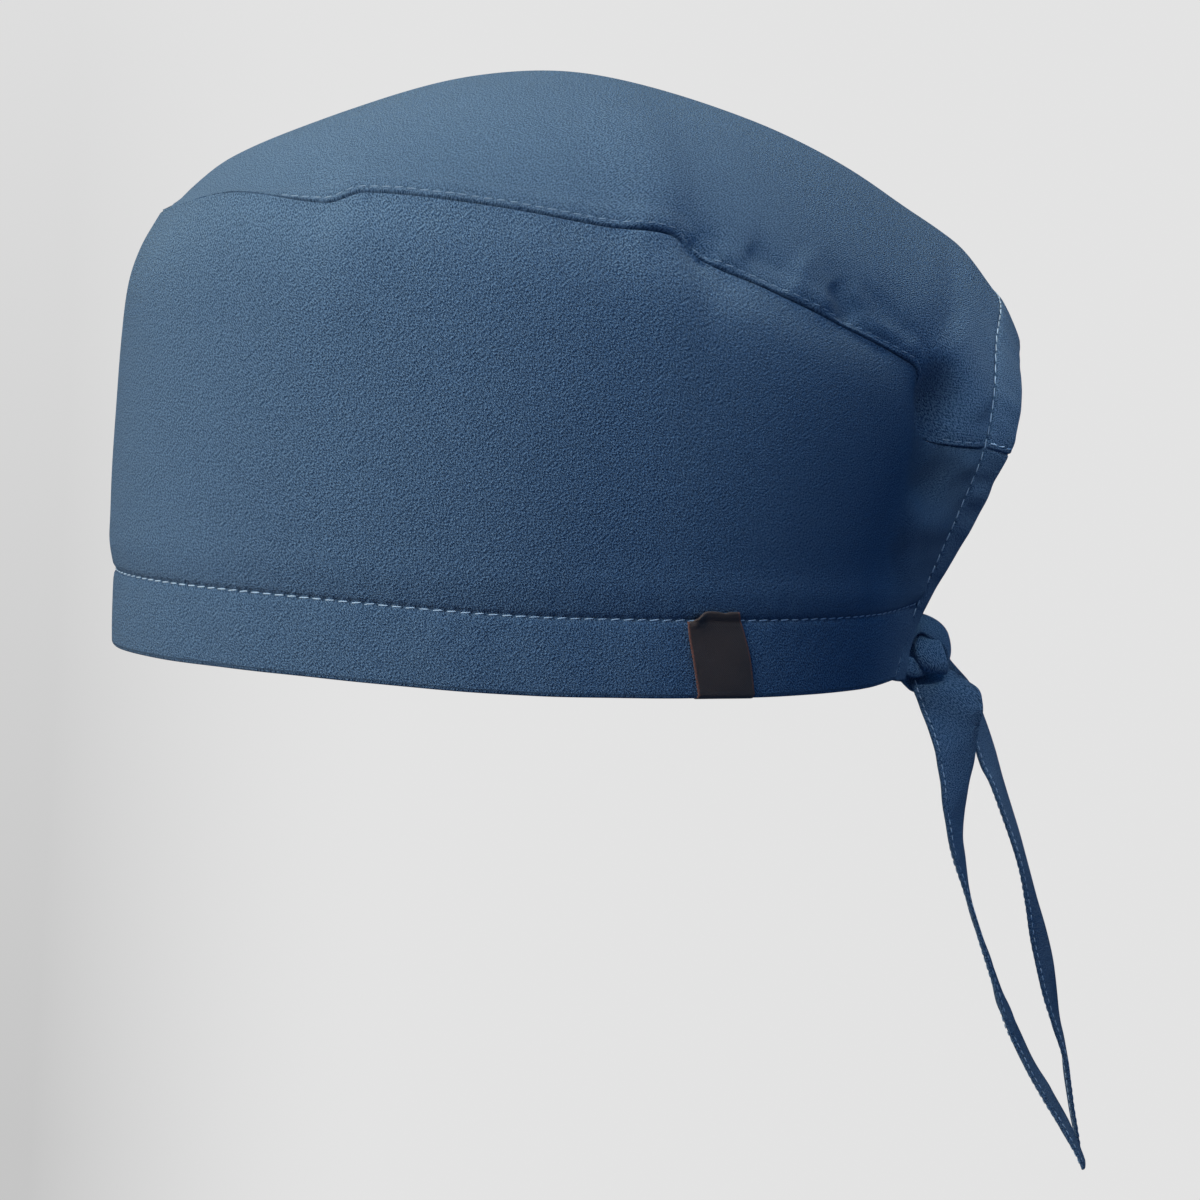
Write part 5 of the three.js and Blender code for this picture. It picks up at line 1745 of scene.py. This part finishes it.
@dataclass(frozen=True)
class Softbox:
    """One round studio light aimed at the cap."""

    name: str
    azimuth: float
    elevation: float
    watts: tuple[float, float, float]
    distance: float = 1.3
    size: float = 0.8
    aim: tuple[float, float, float] = (0.0, 0.0, 0.06)

    def build(self) -> bpy.types.Object:
        """Makes the light, its three powers carried by strength and colour."""
        data = bpy.data.lights.new(self.name, "AREA")
        data.shape = "DISK"
        data.size = self.size
        data.energy = max(self.watts)
        data.color = [part / max(self.watts) for part in self.watts]
        lamp = bpy.data.objects.new(self.name, data)
        a, e = math.radians(self.azimuth), math.radians(self.elevation)
        away = Vector((math.sin(a) * math.cos(e), -math.cos(a) * math.cos(e), math.sin(e)))
        lamp.location = Vector(self.aim) + away * self.distance
        lamp.rotation_euler = away.to_track_quat("Z", "Y").to_euler()
        bpy.context.scene.collection.objects.link(lamp)
        return lamp


@dataclass(frozen=True)
class GridSpot:
    """One narrow, soft-edged light for a small part of the cap."""

    name: str
    azimuth: float
    elevation: float
    watts: tuple[float, float, float]
    aim: tuple[float, float, float]
    cone: float
    distance: float = 0.5
    radius: float = 0.03

    def build(self) -> bpy.types.Object:
        """Makes the light, its three powers carried by strength and colour."""
        data = bpy.data.lights.new(self.name, "SPOT")
        data.spot_size = math.radians(self.cone)
        data.spot_blend = 1.0
        data.shadow_soft_size = self.radius
        data.energy = max(self.watts)
        data.color = [part / max(self.watts) for part in self.watts]
        lamp = bpy.data.objects.new(self.name, data)
        a, e = math.radians(self.azimuth), math.radians(self.elevation)
        away = Vector((math.sin(a) * math.cos(e), -math.cos(a) * math.cos(e), math.sin(e)))
        lamp.location = Vector(self.aim) + away * self.distance
        lamp.rotation_euler = away.to_track_quat("Z", "Y").to_euler()
        bpy.context.scene.collection.objects.link(lamp)
        return lamp


@dataclass(frozen=True)
class Studio:
    """Pale surroundings with painted shade towards the lower left of the photograph, and soft light."""

    backdrop: tuple[float, float, float, float] = (0.77, 0.77, 0.77, 1.0)
    # corner: colour of the painted shade towards the lower left of the surroundings.
    corner: tuple[float, float, float, float] = (0.56, 0.56, 0.56, 1.0)
    across: tuple[float, float, float] = (0.2588, 0.9659, 0.0)
    middle: float = -0.079
    reach: float = 0.11
    ambient: tuple[float, float, float, float] = (0.24, 0.47, 1.0, 1.0)
    ambient_strength: float = 0.15

    def build(self) -> None:
        """Makes the surroundings and the lights."""
        self.surroundings()
        lights = (
            Softbox("front_softbox", 10, 12, (8.8, 7.9, 6.1)),
            Softbox("near_softbox", 45, 35, (6.6, 8.0, 9.4)),
            Softbox("rear_softbox", 150, 64, (0.2, 1.5, 3.4)),
            Softbox("top_softbox", 0, 89, (11.4, 9.6, 5.9)),
            GridSpot("knot_spot", 100, 45, (5.4, 6.2, 6.8), (0.007, 0.118, -0.008), 6.4),
            GridSpot("puff_spot", 105, 30, (4.4, 4.9, 5.1), (0.026, 0.118, 0.077), 7.0),
        )
        for light in lights:
            light.build()
        view = bpy.context.scene.view_settings
        view.view_transform = "Standard"
        view.look = "None"

    def surroundings(self) -> None:
        """Pale surroundings behind the cap and a dim blue-grey light from all round."""
        world = bpy.data.worlds.new("studio")
        world.use_nodes = True
        bpy.context.scene.world = world
        tree = world.node_tree
        tree.nodes.clear()
        sheet = NodeSheet(tree)
        seen, lit = sheet.add("ShaderNodeBackground"), sheet.add("ShaderNodeBackground")
        look = sheet.add("ShaderNodeTexCoord").outputs["Generated"]
        aside = sheet.vector("DOT_PRODUCT", look, self.across).outputs["Value"]
        left = sheet.math("MULTIPLY_ADD", aside, -1 / self.reach / 0.65, -0.35 / 0.65, clamp=True)
        upward = sheet.vector("DOT_PRODUCT", look, (0.0, 0.0, 1.0)).outputs["Value"]
        height = sheet.math("SUBTRACT", upward, self.middle)
        low = sheet.math("MULTIPLY_ADD", height, -0.39 / self.reach, 0.6, clamp=True)
        # Painted shade: the surroundings seen by the camera darken towards the lower left.
        share = sheet.math("MULTIPLY", sheet.math("MULTIPLY", left, left), low)
        sheet.feed(seen.inputs["Color"], sheet.colours(share, self.backdrop, self.corner))
        lit.inputs["Color"].default_value = self.ambient
        lit.inputs["Strength"].default_value = self.ambient_strength
        blend = sheet.add("ShaderNodeMixShader")
        sheet.feed(blend.inputs[0], sheet.add("ShaderNodeLightPath").outputs["Is Camera Ray"])
        sheet.feed(blend.inputs[1], lit.outputs[0])
        sheet.feed(blend.inputs[2], seen.outputs[0])
        sheet.feed(sheet.add("ShaderNodeOutputWorld").inputs[0], blend.outputs[0])


def main() -> None:
    """Builds the studio, then the cap piece by piece, and logs each piece's face count."""
    logging.basicConfig(level=logging.INFO, format="%(name)s: %(message)s")
    PHOTO_CAMERA.build()
    Studio().build()
    finishes = Finishes.build()
    shape = CapShape()
    band = BandCloth(shape)
    crown = CrownCloth(shape, band)
    casing = CasingCloth(shape)
    band_piece = band.build(finishes)
    crown_piece = crown.build(finishes)
    casing_piece = casing.build(finishes)
    hem_row = StitchRow("hem_stitches", seed=21).build(band.stitch_line(), finishes.thread)
    crown_row = StitchRow("crown_stitches", pitch=3.1, length=2.1, radius=0.14, lift=0.03, seed=22).build(
        crown.stitch_line(), finishes.seam_thread)
    casing_row = StitchRow("casing_stitches", radius=0.21, lift=0.12, seed=23).build(
        casing.stitch_lines(), finishes.thread)
    label = LabelTape(band).build(finishes)
    ties = TiesAndKnot().build(finishes)
    for piece in (band_piece, crown_piece, casing_piece, hem_row, crown_row, casing_row, label, *ties):
        LOG.info("%s: %d faces", piece.name, len(piece.data.polygons))


if __name__ == "__main__":
    main()
